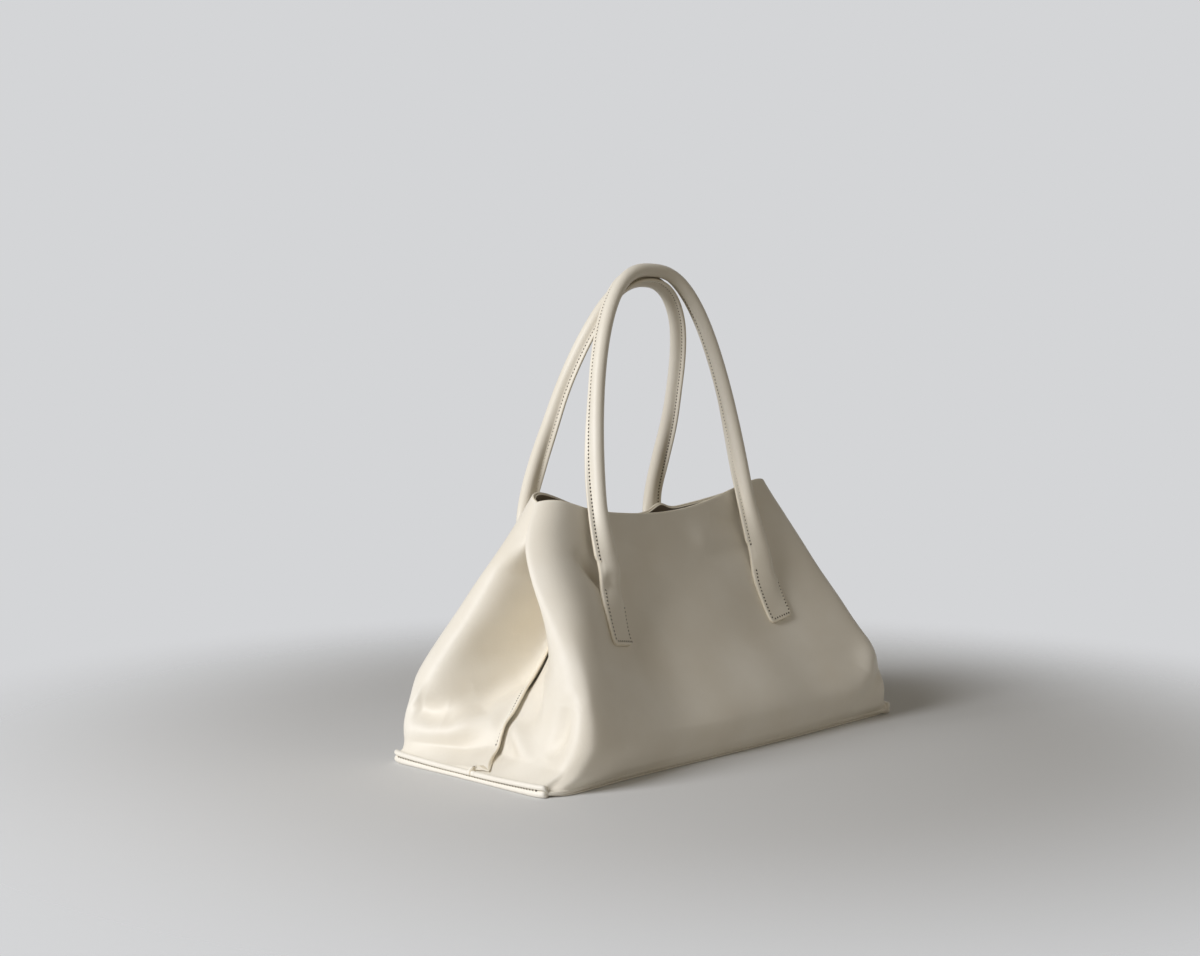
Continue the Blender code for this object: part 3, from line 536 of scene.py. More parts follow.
SNAP_PLACE, SNAP_REACH = np.array([0.0, 0.015, 0.170]), np.array([0.03, 0.05, 0.03])
RIPPLE_HEIGHT, RIPPLE_LENGTH = 0.0007, 0.075
HUMP_W, HUMP_WIDTH, HUMP_FOOT, HUMP_HEIGHT = 26.05, 0.24, 0.93, 0.006


def calm(points):
    """0 where a stiff piece needs the wall as it is, 1 elsewhere."""
    snap = np.linalg.norm((points - SNAP_PLACE) / SNAP_REACH, axis=-1)
    foot = smooth_step((points[..., 2] - 0.004) / 0.012)
    return smooth_step(snap - 0.6) * foot


rippled = RIPPLE_HEIGHT * ripple(net_plain, RIPPLE_LENGTH, 4) * calm(net_plain)
net = net_plain + net_plain_out * rippled[..., None]
for line, width, depth in FOLDS:
    net = fold(net, net_plain_out, line, width, depth)
net = net_plain + (net - net_plain) * calm(net_plain)[..., None]
# a small hump in the back edge of the mouth
hump_along = np.exp(-((net_w - HUMP_W) / HUMP_WIDTH)**2)[None, :]
net[..., 2] += HUMP_HEIGHT * hump_along * smooth_step((net_rows - HUMP_FOOT) / (1.0 - HUMP_FOOT))[:, None]
net_out = with_normals(net)
print(len(FOLDS), "folds; the skin moves by at most",
      round(float(np.linalg.norm(net - net_plain, axis=-1).max()) * 1000, 1), "mm")


def wall(w, s, out):
    """Points on the folded wall, moved outward by out."""
    out = np.asarray(out, float)
    return read_net(net, w, s) + out[..., None] * unit(read_net(net_out, w, s))


# %% [markdown]
# ## From grids of points to sheets of leather
#
# A sheet of leather has two faces and a cut edge. Two grids of points give the faces, and a half-round
# strip joins them, because a pared and painted edge is round. The strip takes a second finish, the edge
# paint. A tube is a row of closed rings. Each piece then hides the nodes of the frame that it stands
# for, and most hang on the body that carries them.

# %% Mesh makers
def new_piece(name, points, faces, finishes, second=None):
    """Makes an object from points and faces. second is 1 at each face that has the second finish."""
    mesh = bpy.data.meshes.new(name)
    mesh.from_pydata(np.asarray(points).tolist(), [], [list(face) for face in faces])
    for finish in finishes:
        mesh.materials.append(finish)
    if second is not None:
        mesh.polygons.foreach_set("material_index", np.asarray(second, np.int32))
    mesh.validate()
    mesh.shade_smooth()
    made = bpy.data.objects.new(name, mesh)
    bpy.context.scene.collection.objects.link(made)
    return made


def grid_faces(rows, columns, first=0, closed=False):
    """Faces over a grid of points. A closed grid joins its last column to its first."""
    span = columns if closed else columns - 1
    row, column = np.meshgrid(np.arange(rows - 1), np.arange(span), indexing="ij")
    after = (column + 1) % columns
    return np.stack([first + row * columns + column, first + row * columns + after,
                     first + (row + 1) * columns + after, first + (row + 1) * columns + column],
                    axis=-1).reshape(-1, 4)


def border_of(grid):
    """The points round a grid in order, and for each the direction that leaves the sheet."""
    inner = grid[1:-1, 1:-1]
    inner = np.pad(inner, ((1, 1), (1, 1), (0, 0)), mode="edge")
    sides = [(slice(0, 1), slice(None)), (slice(1, None), slice(-1, None)),
             (slice(-1, None), slice(-2, None, -1)), (slice(-2, 0, -1), slice(0, 1))]
    index = np.arange(grid.shape[0] * grid.shape[1]).reshape(grid.shape[:2])
    order = np.concatenate([index[side].reshape(-1) for side in sides])
    points, away = grid.reshape(-1, 3)[order], (grid - inner).reshape(-1, 3)[order]
    return points, unit(away + 1e-12), order


EDGE_BULGE = 0.0013


def leather_sheet(name, outer, inner, finishes, round_steps=3):
    """A sheet between two grids, with a half-round edge in the second finish."""
    rows, columns = outer.shape[:2]
    count = rows * columns
    here, away, order = border_of(outer)
    there = border_of(inner)[0]
    middle, half = (here + there) / 2, (here - there) / 2
    bulge = away * np.minimum(np.linalg.norm(half, axis=1, keepdims=True), EDGE_BULGE)
    points = [outer.reshape(-1, 3), inner.reshape(-1, 3)]
    strips = [order]
    for step in range(1, round_steps + 1):
        turn = math.pi * step / (round_steps + 1)
        strips.append(2 * count + (step - 1) * len(order) + np.arange(len(order)))
        points.append(middle + half * math.cos(turn) + bulge * math.sin(turn))
    strips.append(order + count)
    faces = [grid_faces(rows, columns)[:, ::-1], grid_faces(rows, columns, count)]
    for low, high in zip(strips[:-1], strips[1:]):
        faces.append(np.stack([low, np.roll(low, -1), np.roll(high, -1), high], axis=-1))
    second = np.concatenate([np.zeros(2 * (rows - 1) * (columns - 1)),
                             np.ones(len(order) * (round_steps + 1))])
    return new_piece(name, np.concatenate(points), np.concatenate(faces), finishes, second)


def closed_tube(name, rings, finishes, second=None):
    """A skin over a row of closed rings, shut at both ends."""
    rows, columns = rings.shape[:2]
    faces = grid_faces(rows, columns, closed=True).tolist()
    faces += [list(range(columns))[::-1], list(range((rows - 1) * columns, rows * columns))]
    return new_piece(name, rings.reshape(-1, 3), faces, finishes, second)


def dress(piece, nodes, body):
    """Hides the frame's nodes that a piece stands for and hangs the piece on the body that it rides on."""
    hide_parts(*nodes)
    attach(piece, body)


print("a 3 x 4 grid has", len(grid_faces(3, 4)), "faces")

# %% [markdown]
# ## The foot of the wall
#
# At both ends of the base the leather turns outward and is stitched to the base as a flange, 8 mm wide
# at its ends, 11 mm in its middle, and two lips thick. Along the front and back it tucks under instead,
# and only a thin line of the base shows. One profile turns into the other round the corners.

# %% Foot and flange
FLANGE_REACH, FLANGE_BOW, BASE_LEATHER, GAP = 0.0080, 0.0030, 0.0034, 0.0003
LAYER = LEATHER + GAP
HEM, LIP = 0.0016, 0.0042
FLANGE_ENDS, FLARE, MORE_LAYERS = 4.66, 0.0045, 0.0018
plain_foot = net_plain[0]
foot_along = np.roll(plain_foot[:-1], -1, axis=0) - np.roll(plain_foot[:-1], 1, axis=0)
foot_along = np.concatenate([foot_along, foot_along[:1]])
foot_away = unit(np.stack([foot_along[:, 1], -foot_along[:, 0], np.zeros(len(foot_along))], axis=-1))


def from_crease(w):
    """How far w lies from the nearest crease, in steps of w."""
    return np.minimum(np.mod(w, 18.0), 18.0 - np.mod(w, 18.0))


def flange_share(w):
    """1 where the leather turns out as a flange, 0 where it tucks under, with a round end between."""
    inward = np.clip((FLANGE_ENDS - from_crease(w)) / 0.30, 0.0, 1.0)
    return np.sqrt(1.0 - (1.0 - inward)**2)


def flange_reach(w):
    """The flange bows outward in the middle of each end."""
    return FLANGE_REACH + FLANGE_BOW * (1.0 - smooth_step(from_crease(w) / 3.6))


def flare(w):
    """Past the flange's ends the foot still turns out a little, which fades round the corner."""
    return FLARE * (1.0 - smooth_step((from_crease(w) - 4.5) / 1.7)) * (1.0 - flange_share(w))


def thicker(w):
    """How much thicker the lower lip is towards its ends, where more layers meet."""
    return MORE_LAYERS * smooth_step((from_crease(w) - 1.2) / 3.0) * flange_share(w)


def at_foot(w, reach, height):
    """A point beside the foot of the wall: reach outward, at a height."""
    column = np.interp(np.mod(w, ROUND), net_w, np.arange(len(net_w)))
    low = np.minimum(column.astype(int), len(net_w) - 2)
    part = (column - low)[..., None]
    point = plain_foot[low] * (1 - part) + plain_foot[low + 1] * part
    away = foot_away[low] * (1 - part) + foot_away[low + 1] * part
    point = point + away * np.asarray(reach)[..., None]
    point[..., 2] = height
    return point


def share_at(w, height):
    """The s at which the wall stands at a height above the floor."""
    probe = 0.4
    rise = (read_net(net_plain, w, probe)[..., 2] - WALL_FOOT) / probe
    return (height - WALL_FOOT) / rise


def columns_between(start, end):
    """The net's own columns between two places, and the two places themselves."""
    whole = np.concatenate([net_w - ROUND, net_w[1:], net_w[1:] + ROUND])
    inside = whole[(whole > start + 0.02) & (whole < end - 0.02)]
    return np.concatenate([[start], inside, [end]])


print("flange share at the gusset and at the front:", flange_share(np.array([0.0, 9.0])))

# %% [markdown]
# ## The front and the back of the shell
#
# Each face is one piece of leather that wraps over its two corner rolls and ends in the middle of the
# gussets. There the back piece laps over the front one by a few millimetres. At the flange the lap's
# edge runs out to a tip over the front piece and then curls back along the lip, like the end of a
# ribbon, because the thick layers under it push it aside. A thin bead marks the folded edge of the lap.

# %% The lap in the gussets
SHELL_ROWS = np.linspace(1.0, 0.0, len(net_rows))
TURN_ROWS = np.concatenate([np.linspace(0.0, 0.8, 11)[1:], np.linspace(0.82, 1.0, 10)])
# the lap's edge, in w past the crease: on the wall, at its foot, at the tip, curled back, under the lip
LAP, LAP_FOOT, LAP_TIP, LAP_CURL, LAP_BACK = 0.55, 0.64, 1.44, 0.84, 0.64
TIP_AT, BEAD, HOOK, STAND_OFF = 0.84, 0.0009, 0.0048, 0.0022
# how far the front piece is drawn back under the lap, in w: at the foot of the wall and in the flange
UNDER, TONGUE = 0.70, 1.26


def lap_edge(s):
    """Where the back piece's edge runs in the gusset, in w past the crease, at each s."""
    return np.interp(s, [0.0, 0.05, 1.0], [LAP_FOOT, LAP, LAP])


def past_crease(w):
    """How far w lies past the nearest crease, counted towards the front face."""
    turned = np.mod(w, ROUND)
    return np.where(turned > 27.0, turned - 36.0, np.where(turned < 9.0, turned, 18.0 - turned))


def stand_off(w, s):
    """The free lap stands a little off the front piece in its lower half."""
    low = np.interp(s, [0.0, 0.20, 0.36, 0.50], [1.0, 1.0, 0.45, 0.0])
    return STAND_OFF * low * smooth_step((past_crease(w) + 0.9) / 1.4)


def lift_of(w, laps):
    """How far the piece that laps is lifted by the one under it. It settles beside the crease."""
    settled = 1.0 - smooth_step((np.abs(past_crease(w)) - 0.65) / 1.05)
    return np.where(np.mod(w, ROUND) < 18.0, 1.0, settled) * laps * LAYER


def foot_of(w, laps, down=0.0):
    """The height of the leather's underside. down lets the lap sink past the cut end of the front piece."""
    even = WALL_FOOT + thicker(w) + (1.0 - down) * lift_of(w, laps)
    return HEM + (even - HEM) * flange_share(w)


def wall_end(w, laps):
    """The s at which the wall ends and the turn to the flange begins."""
    fillet = 0.0030 + 0.0050 * flange_share(w)
    return share_at(w, foot_of(w, laps) + LIP + fillet)


print("the lap's tip sticks out by", LAP_TIP - LAP, "steps of w")

# %% Rows of the flange
def turn_row(step, w, laps, curl, hook):
    """A row of the hollow turn from the wall out to the flange, at a step from 0 to 1."""
    end = wall_end(w, laps)
    flange = flange_share(w)
    foot = foot_of(w, laps, 0.5 * smooth_step((step - 0.3) / 0.4) + 0.5 * curl)
    begin = wall(w, end, lift_of(w, laps) + laps * stand_off(w, end))
    turn_in = at_foot(w, flange * 0.0003, foot + LIP * (0.75 + 0.25 * flange))
    reach = 0.0002 + flare(w) + flange * (flange_reach(w) - 0.0050)
    rest = at_foot(w, reach, foot + LIP * (0.6 + 0.13 * flange))
    row = (1 - step)**2 * begin + 2 * step * (1 - step) * turn_in + step**2 * rest
    row[:, 2] += hook * curl
    return row


def lip_row(turn, w, laps, raised):
    """A row of the lip's round edge, where turn goes from its top (below 0) to its underside (pi)."""
    flange, foot, half = flange_share(w), foot_of(w, laps, 1.0), LIP / 2
    reach_out = flange_reach(w) - half + half * math.sin(turn)
    reach_in = 0.0002 - 0.0011 * (1 - math.cos(turn / 2))
    height = half + half * (math.cos(turn) * flange + math.cos(max(turn, 0.0)) * (1 - flange))
    height = height * (flange + (1 - flange) * 0.55) + raised * max(math.cos(turn), 0.0)
    return at_foot(w, reach_in + flare(w) + (reach_out - reach_in) * flange, foot + height)


print("the flange sticks out by", FLANGE_REACH, "m under a lip of", LIP, "m")

# %% Leather of the shell
def shell_piece(name, start, end, laps, node):
    """One face with its share of the gussets. laps is 1 for the piece that lies on top, 0 for the other."""
    w_plain = columns_between(start, end)
    middle = (start + end) / 2
    share = np.abs(w_plain - middle) / (end - middle)
    bead = laps * BEAD * (smooth_step((share - 0.966) / 0.016) - 0.5 * np.exp(-((share - 0.962) / 0.005)**2))
    hook = laps * HOOK * smooth_step((share - 0.970) / 0.022)

    def squeezed(edge, under):
        """The columns, moved so that the last one lies at the lap's edge, or under the lap."""
        pull = smooth_step((share - 0.82) / 0.18) * (LAP - edge if laps else under)
        return w_plain - np.sign(w_plain - middle) * pull

    outer, inner = [], []
    for s in SHELL_ROWS:
        w = squeezed(lap_edge(s), UNDER * (1.0 - smooth_step(s / 0.10)))
        here = wall_end(w, laps) + (1.0 - wall_end(w, laps)) * s
        out = lift_of(w, laps) + laps * stand_off(w, here) + bead
        outer.append(wall(w, here, out))
        inner.append(wall(w, np.maximum(here - 0.012 * (1 - s), 0.0), out - LEATHER))
    for step in TURN_ROWS:
        curl = smooth_step((step - TIP_AT) / (1.0 - TIP_AT))
        edge = LAP_FOOT + (LAP_TIP - LAP_FOOT) * min(step / TIP_AT, 1.0)**1.2 + (LAP_CURL - LAP_TIP) * curl
        w = squeezed(edge, UNDER + (TONGUE - UNDER) * smooth_step((step - 0.3) / 0.5))
        outer.append(turn_row(step, w, laps, curl, hook))
    for turn in np.linspace(-math.pi / 4, math.pi, 11):
        over = 1.0 - smooth_step((turn + 0.8) / 1.2)
        w = squeezed(LAP_BACK + (LAP_CURL - LAP_BACK) * over, TONGUE)
        outer.append(lip_row(turn, w, laps, hook * (0.3 + 0.7 * over)))
    foot = foot_of(w, laps, 1.0)
    outer.append(at_foot(w, -0.0020, foot))
    last, low_inner = inner[-1], at_foot(w, -0.0028, foot)
    for step in np.linspace(0.0, 1.0, len(outer) - len(inner) + 1)[1:]:
        inner.append(last + (low_inner - last) * step)
    made = leather_sheet(name, np.array(outer), np.array(inner), [shell_nappa, painted_edge])
    dress(made, [node], "bag")
    print(name, "has", len(made.data.polygons), "faces and", len(w_plain), "columns")


shell_piece("front_shell", -0.5, 18.5, 0, "front_panel")
shell_piece("back_shell", 18.0 - LAP, 36.0 + LAP, 1, "back_panel")

# %% [markdown]
# ## The base
#
# The base is one thicker piece of the same leather. Its edge is turned and rounded, so under the flange
# it reads as a second lip with a thin dark line between the two.

# %% Base leather
def base_piece():
    w = columns_between(0.0, float(ROUND))[:-1]
    back, thin = 0.0004, 0.0007
    reach = -back + (flange_reach(w) + back) * flange_share(w)
    half = thin + ((BASE_LEATHER + thicker(w)) / 2 - thin) * flange_share(w)
    rings_up = [at_foot(w, reach - half - 0.004, 0.0)]
    for turn in np.linspace(0.0, math.pi, 9):
        rings_up.append(at_foot(w, reach - half + half * math.sin(turn), half - half * math.cos(turn)))
    rings_up.append(at_foot(w, reach - half - 0.012, BASE_LEATHER))
    made = closed_tube("base_leather", np.array(rings_up), [shell_nappa])
    dress(made, ["base_panel"], "bag")
    print("base is", [round(x, 3) for x in made.dimensions])


base_piece()

# %% [markdown]
# ## Facing and lining
#
# Inside the mouth runs a 30 mm band, the facing, which takes the wear of hands. Below it hangs the
# lining, sewn to the facing and caught in the base. Both follow the folds of the shell, because they are
# read from the same net, a little further in.

# %% Facing bands
FACE_SPANS = {"front": (0.03, 17.97), "back": (18.03, 35.97)}
FACING_HEIGHT, FACING_OUT, FACING_TOP_OUT, FACING_THICKNESS = 0.030, -0.0034, -0.0023, 0.0012
FACING_LOW = 1.0 - FACING_HEIGHT / (BAG_HEIGHT - WALL_FOOT)


def facing_band(face, start, end):
    w = columns_between(start, end)
    steps = np.linspace(0.0, 1.0, 14)
    s_rows = FACING_LOW + (1.0 - FACING_LOW) * steps
    outs = np.interp(steps, [0.0, 0.8, 1.0], [FACING_OUT, FACING_OUT, FACING_TOP_OUT])
    outer, inner = [np.array([wall(w, s, out - thickness) for s, out in zip(s_rows, outs)])[::-1]
                    for thickness in (0.0, FACING_THICKNESS)]
    made = leather_sheet(f"{face}_facing_band", outer, inner, [flesh_side_painted_shade, painted_edge])
    dress(made, [f"facing_{face}"], "bag")
    print(made.name, "is", round(made.dimensions.x, 3), "m long")


for face, span in FACE_SPANS.items():
    facing_band(face, *span)

# %% Lining walls
LINING_OUT, LINING_THICKNESS, LINING_FOOT, LINING_DROP = -0.0041, 0.0008, 0.0074, 0.0316
LINING_TOP = 1.0 - LINING_DROP / (BAG_HEIGHT - WALL_FOOT)


def lining_wall(face, start, end):
    w = columns_between(start, end)[::2]
    low = share_at(w, LINING_FOOT)
    grids = []
    for out in (LINING_OUT, LINING_OUT - LINING_THICKNESS):
        rows = [wall(w, low + (LINING_TOP - low) * step, out) for step in np.linspace(1.0, 0.0, 60)]
        rows[-1][:, 2] = LINING_FOOT
        grids.append(np.array(rows))
    made = leather_sheet(f"{face}_lining_cloth", *grids, [lining_cloth, lining_cloth], round_steps=1)
    dress(made, [f"lining_{face}"], "bag")


for face, span in FACE_SPANS.items():
    lining_wall(face, *span)

# %% Lining floor
FLOOR_IN, FLOOR_LOW, FLOOR_THICKNESS, FLOOR_WAVE = 0.0042, 0.0066, 0.0006, 0.0002


def lining_floor():
    w = columns_between(0.0, float(ROUND))[:-1][::3]
    rim = at_foot(w, -FLOOR_IN, 0.0)[:, :2]
    bottom, top = [], []
    for share in np.linspace(1.0, 0.04, 26):
        xy = rim * share
        waves = FLOOR_WAVE * ripple(np.column_stack([xy, np.zeros(len(xy))]), 0.05, 9)
        top.append(np.column_stack([xy, FLOOR_LOW + FLOOR_THICKNESS + waves]))
        bottom.append(np.column_stack([xy, np.full(len(xy), FLOOR_LOW - 0.0002)]))
    made = closed_tube("floor_lining_cloth", np.array(bottom[::-1] + top), [lining_cloth])
    dress(made, ["lining_floor"], "bag")


lining_floor()

# %% [markdown]
# ## Stitches
#
# A seam is a row of short threads, each a low rounded rib that dives into a needle hole at both ends.
# The pitch is 3 mm, as on most bags of this weight. One function lays a row along any line on a surface,
# so that a seam follows every fold under it.

# %% Stitch maker
STITCH_PITCH, THREAD_WIDTH, RIB_HALF = 0.0030, 0.00055, 0.00095
RIB_STEPS, RIB_SIDES, HOLE_SIDES, HOLE_RADIUS = 7, 6, 8, 0.00084


def stitch_shapes():
    """One thread rib and one dark disc of painted shade for the needle hole, lying along +X on the plane z =
    0.
    """
    rib = []
    for way in np.linspace(0.0, math.pi, RIB_STEPS):
        size = max(0.12, math.sin(way))**0.6
        for turn in np.linspace(0.0, 2 * math.pi, RIB_SIDES, endpoint=False):
            rib.append((RIB_HALF * math.cos(way), THREAD_WIDTH / 2 * size * math.cos(turn),
                        0.00006 + 0.00022 * size * math.sin(turn)))
    disc = [(STITCH_PITCH / 2 + HOLE_RADIUS * math.cos(turn), HOLE_RADIUS * math.sin(turn), 0.00008)
            for turn in np.linspace(0.0, 2 * math.pi, HOLE_SIDES, endpoint=False)]
    middle = [(STITCH_PITCH / 2, 0.0, 0.00014)]
    disc_faces = [(HOLE_SIDES, index, (index + 1) % HOLE_SIDES) for index in range(HOLE_SIDES)]
    return np.array(rib), grid_faces(RIB_STEPS, RIB_SIDES, closed=True), np.array(disc + middle), disc_faces


RIB, RIB_FACES, DISC, DISC_FACES = stitch_shapes()
print("a stitch has", len(RIB_FACES) + len(DISC_FACES), "faces")


def seam(name, lines):
    """Stitches along lines of (points, normals)."""
    points, faces, marks = [], [], []
    count = 0
    for line, normals in lines:
        lengths = lengths_along(line)
        for place in np.arange(STITCH_PITCH / 2, lengths[-1] - STITCH_PITCH / 4, STITCH_PITCH):
            centre = read_line(place, lengths, line)
            normal = unit(read_line(place, lengths, normals))
            along = read_line(place + 0.001, lengths, line) - read_line(place - 0.001, lengths, line)
            along = unit(along - (along @ normal) * normal)
            axes = np.array([along, np.cross(normal, along), normal])
            for shape, shape_faces, mark in ((RIB, RIB_FACES, 0), (DISC, DISC_FACES, 1)):
                points.append(centre + shape @ axes)
                faces += [[index + count for index in face] for face in shape_faces]
                marks += [mark] * len(shape_faces)
                count += len(shape)
    made = new_piece(name, np.concatenate(points), faces, [thread, hole], marks)
    print(name, "has", marks.count(1) // len(DISC_FACES), "stitches")
    return made


# %% Seams of the gussets and the base
def lap_line(crease, side):
    """The stitch line inside the back piece's edge, from the mouth to the flange."""
    s = np.linspace(0.985, 0.075, 160)
    w = crease + side * (lap_edge(s) - 0.36)
    return wall(w, s, LAYER + stand_off(w, s)), read_net(net_out, w, s)


def flange_lines():
    """The row in the groove between the two lips, at both ends of the base."""
    lines = []
    for crease in (0.0, 18.0):
        w = np.linspace(crease - 4.1, crease + 4.1, 160)
        height = WALL_FOOT - 0.0002 + thicker(w)
        line, ahead = [at_foot(w, flange_reach(w) + out, height) for out in (-0.0010, 0.0100)]
        lines.append((line, unit(ahead - line)))
    return lines


body_seams = seam("shell_stitches", [lap_line(36.0, 1), lap_line(18.0, -1)] + flange_lines())
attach(body_seams, "bag")

# %% [markdown]
# ## Handles and tabs
#
# A handle is one strip of leather. In its middle it is rolled round a rope and sewn shut, which leaves
# the narrow flange along the roll. At both ends the rope stops and the strip lies flat as a tab, sewn to
# the face. So each handle here is one mesh: its outline across is a ring of points that starts as a flat
# bar on the wall and turns into the roll with its flange within 66 mm.

# %% Pattern of the straps
TAB_TOP_Z, TAB_HEIGHT, TAB_SLANT, TAB_CORNER, TAB_TURN = 0.1352, 0.0437, 0.004, 0.0050, 0.17
ROLL = 0.0055
END_WIDTH, END_THICKNESS, TAB_WIDTH, TAB_THICKNESS = 0.025, 0.0046, 0.028, 0.0030
STRAP_EDGE, STRAP_CROWN = 0.0026, 0.0076
FLATTENING, SEAM_TURN, SEAT = 0.066, 0.160, 0.00045
APART = (2 * ROLL + 0.0005) / math.sqrt(2)
TOP_Z = TAB_TOP_Z + 0.250
STRAPS = {
    "front": {"side": -1, "spread": 0.185, "top": (0.009, TOP_Z), "arch": (2.0, 0.385),
              "lean": ((0.0, 0.1, 0.241, 0.6, 1.0), (0.0, 0.165, 0.349, 0.68, 1.0))},
    "back": {"side": 1, "spread": 0.154, "top": (0.009 + APART, TOP_Z - APART), "arch": (3.0, 0.44),
             "lean": ((0.0, 0.08, 0.16, 0.25, 0.37, 0.52, 0.66, 0.78, 0.87, 1.0),
                      (0.0, -0.15, -0.23, -0.215, -0.035, 0.25, 0.485, 0.69, 0.835, 1.0))},
}


def find_on_wall(skin, side, x, z):
    """The w and s at which a face of the skin has a given x and z, found step by step."""
    x, z = np.broadcast_arrays(np.asarray(x, float), np.asarray(z, float))
    w = (9.0 if side < 0 else 27.0) - side * 30.0 * x
    s = (z - WALL_FOOT) / (BAG_HEIGHT - WALL_FOOT)
    w_step, s_step, pace = 0.05, 0.01, 0.9
    for _ in range(30):
        here = read_net(skin, w, s)
        by_w = (read_net(skin, w + w_step, s) - here) / w_step
        by_s = (read_net(skin, w, s + s_step) - here) / s_step
        det = by_w[..., 0] * by_s[..., 2] - by_s[..., 0] * by_w[..., 2]
        dx, dz = x - here[..., 0], z - here[..., 2]
        w = w + pace * (dx * by_s[..., 2] - dz * by_s[..., 0]) / det
        s = s + pace * (dz * by_w[..., 0] - dx * by_w[..., 2]) / det
    return w, s


print("the left front tab's top is at w, s =",
      [round(float(v), 2) for v in find_on_wall(net_plain, -1, -0.0925, TAB_TOP_Z)])

# %% Outline across a strap
# upper half of the outline from the flange's edge to the far side of the roll, as (across, up) in mm,
# and the same points on the flat bar, in shares of its half width and of its thickness
HALF_ROLL = np.array([
    (10.3, 0), (10.15, 0.65), (9.75, 1.08), (9.1, 1.25), (8.2, 1.25), (7.3, 1.25), (6.6, 1.32), (6.0, 1.65),
    (5.5, 2.15), (5.05, 2.65), (4.45, 3.33), (3.53, 4.21), (2.32, 4.98), (0.96, 5.42), (-0.48, 5.48),
    (-1.88, 5.17), (-3.15, 4.5), (-4.21, 3.53), (-4.98, 2.32), (-5.38, 1.14), (-5.5, 0)]) / 1000
HALF_FLAT = np.array([1.0, 0.995, 0.97, 0.93, 0.87, 0.81, 0.75, 0.68, 0.60, 0.52, 0.42, 0.30, 0.17, 0.04,
                      -0.12, -0.30, -0.50, -0.72, -0.90, -0.985, -1.0])
HALF_UP = np.array([0.0, 0.62, 0.92, 1.0, 1, 1, 1, 1, 1, 1, 1, 1, 1, 1, 1, 1, 1, 1, 1.0, 0.7, 0.0])


def round_trip(half_values, sign):
    """Values round the closed outline, from those of its upper half. sign is -1 for what flips below."""
    return np.concatenate([half_values, sign * half_values[-2:0:-1]])


ACROSS_FLAT = round_trip(HALF_FLAT, 1)
UP_FLAT = round_trip(HALF_UP, -1)
ROLL_A, ROLL_B = round_trip(HALF_ROLL[:, 0], 1), round_trip(HALF_ROLL[:, 1], -1)
OUTLINE = len(ACROSS_FLAT)


def bar_height(across, edge, crown, steep):
    """Thickness of the flat strap across its width: thin at its edges, full on the roll's side."""
    full_at = -0.30
    to_seam = np.clip((across - full_at) / (1.0 - full_at), 0.0, 1.0)
    to_roll = np.clip((full_at - across) / (1.0 + full_at), 0.0, 1.0)
    return edge + (crown - edge) * (1.0 - to_seam**1.6) * (1.0 - to_roll**steep)


print("an outline across a strap has", OUTLINE, "points")

# %% Route of a handle
def handle_route(strap):
    """Points from the left end over the top to the right end, and the two axes across at each."""
    side, spread = strap["side"], strap["spread"]
    w, s = find_on_wall(net_plain, side, -spread / 2, TAB_TOP_Z)
    normal = read_net(net_plain_out, w, s)
    upward = np.cross(normal, unit(np.cross((0.0, 0.0, 1.0), normal)))
    foot = read_net(net_plain, w, s) + normal * (SEAT + END_THICKNESS / 2) + upward * SEAT
    top_y, top_z = strap["top"]
    shares = np.sin(np.linspace(0.0, math.pi / 2, 801))
    lean = np.array([curve_value(strap["lean"][0], strap["lean"][1], share) for share in shares])
    power, root = strap["arch"]
    fine = np.column_stack([-spread / 2 * np.clip(1 - shares**power, 0, None)**root,
                            foot[1] + (top_y - foot[1]) * lean, foot[2] + (top_z - foot[2]) * shares])
    lengths = lengths_along(fine)
    left = read_line(np.linspace(0.0, lengths[-1], 130), lengths, fine)
    route = np.concatenate([left, left[-2::-1] * (-1, 1, 1)])
    frames, last = [], len(route) - 1
    for index, point in enumerate(route):
        above = point[2] - route[0][2]
        mirror = np.array([1.0 if index <= last / 2 else -1.0, 1.0, 1.0])
        if index in (0, last):
            along = upward if index == 0 else -upward * mirror
        else:
            along = unit(route[index + 1] - route[index - 1])
        facing = np.array([0.0, -float(side), 0.0])
        facing = facing + (-normal * mirror - facing) * (1.0 - smooth_step(above / FLATTENING))
        facing = unit(facing - (facing @ along) * along)
        square = np.cross(along, facing)
        quarter = math.pi / 2 * (1.0 - smooth_step(above / SEAM_TURN))
        sideways = square * math.copysign(1.0, square[0] * side)
        toward = facing * math.cos(quarter) + sideways * math.sin(quarter)
        frames.append((toward, np.cross(along, toward)))
    return route, np.array(frames), 2 * lengths[-1]


for which, strap in STRAPS.items():
    strap["route"], strap["frames"], strap["length"] = handle_route(strap)
    print(which, "handle is", round(strap["length"], 3), "m from tab to tab")

# %% Rings of a strap
TAB_ROWS = np.concatenate([[1.0, 0.996, 0.985, 0.965, 0.94, 0.92], np.linspace(0.89, 0.0, 30)])
TAB_OUT = 0.0001
NOTCH_DEPTH, NOTCH_TOP = 0.0015, 0.0225


def tab_place(strap, end, share, across):
    """The w and s of places on a tab: share runs down it, across in metres from its middle line."""
    x = end * (strap["spread"] / 2 + TAB_SLANT * share) + across
    square = end * TAB_TURN * across * smooth_step(share / 0.8)
    return find_on_wall(net, strap["side"], x, TAB_TOP_Z - share * TAB_HEIGHT + square)


def tab_height(across, share):
    """Thickness of the tab: the end of the roll fades out in it, above its middle."""
    crown = STRAP_CROWN + (TAB_THICKNESS + 0.0002 - STRAP_CROWN) * smooth_step(share / 0.80)
    return bar_height(across, STRAP_EDGE, crown, 3.0 - 1.3 * smooth_step(share / 0.2))


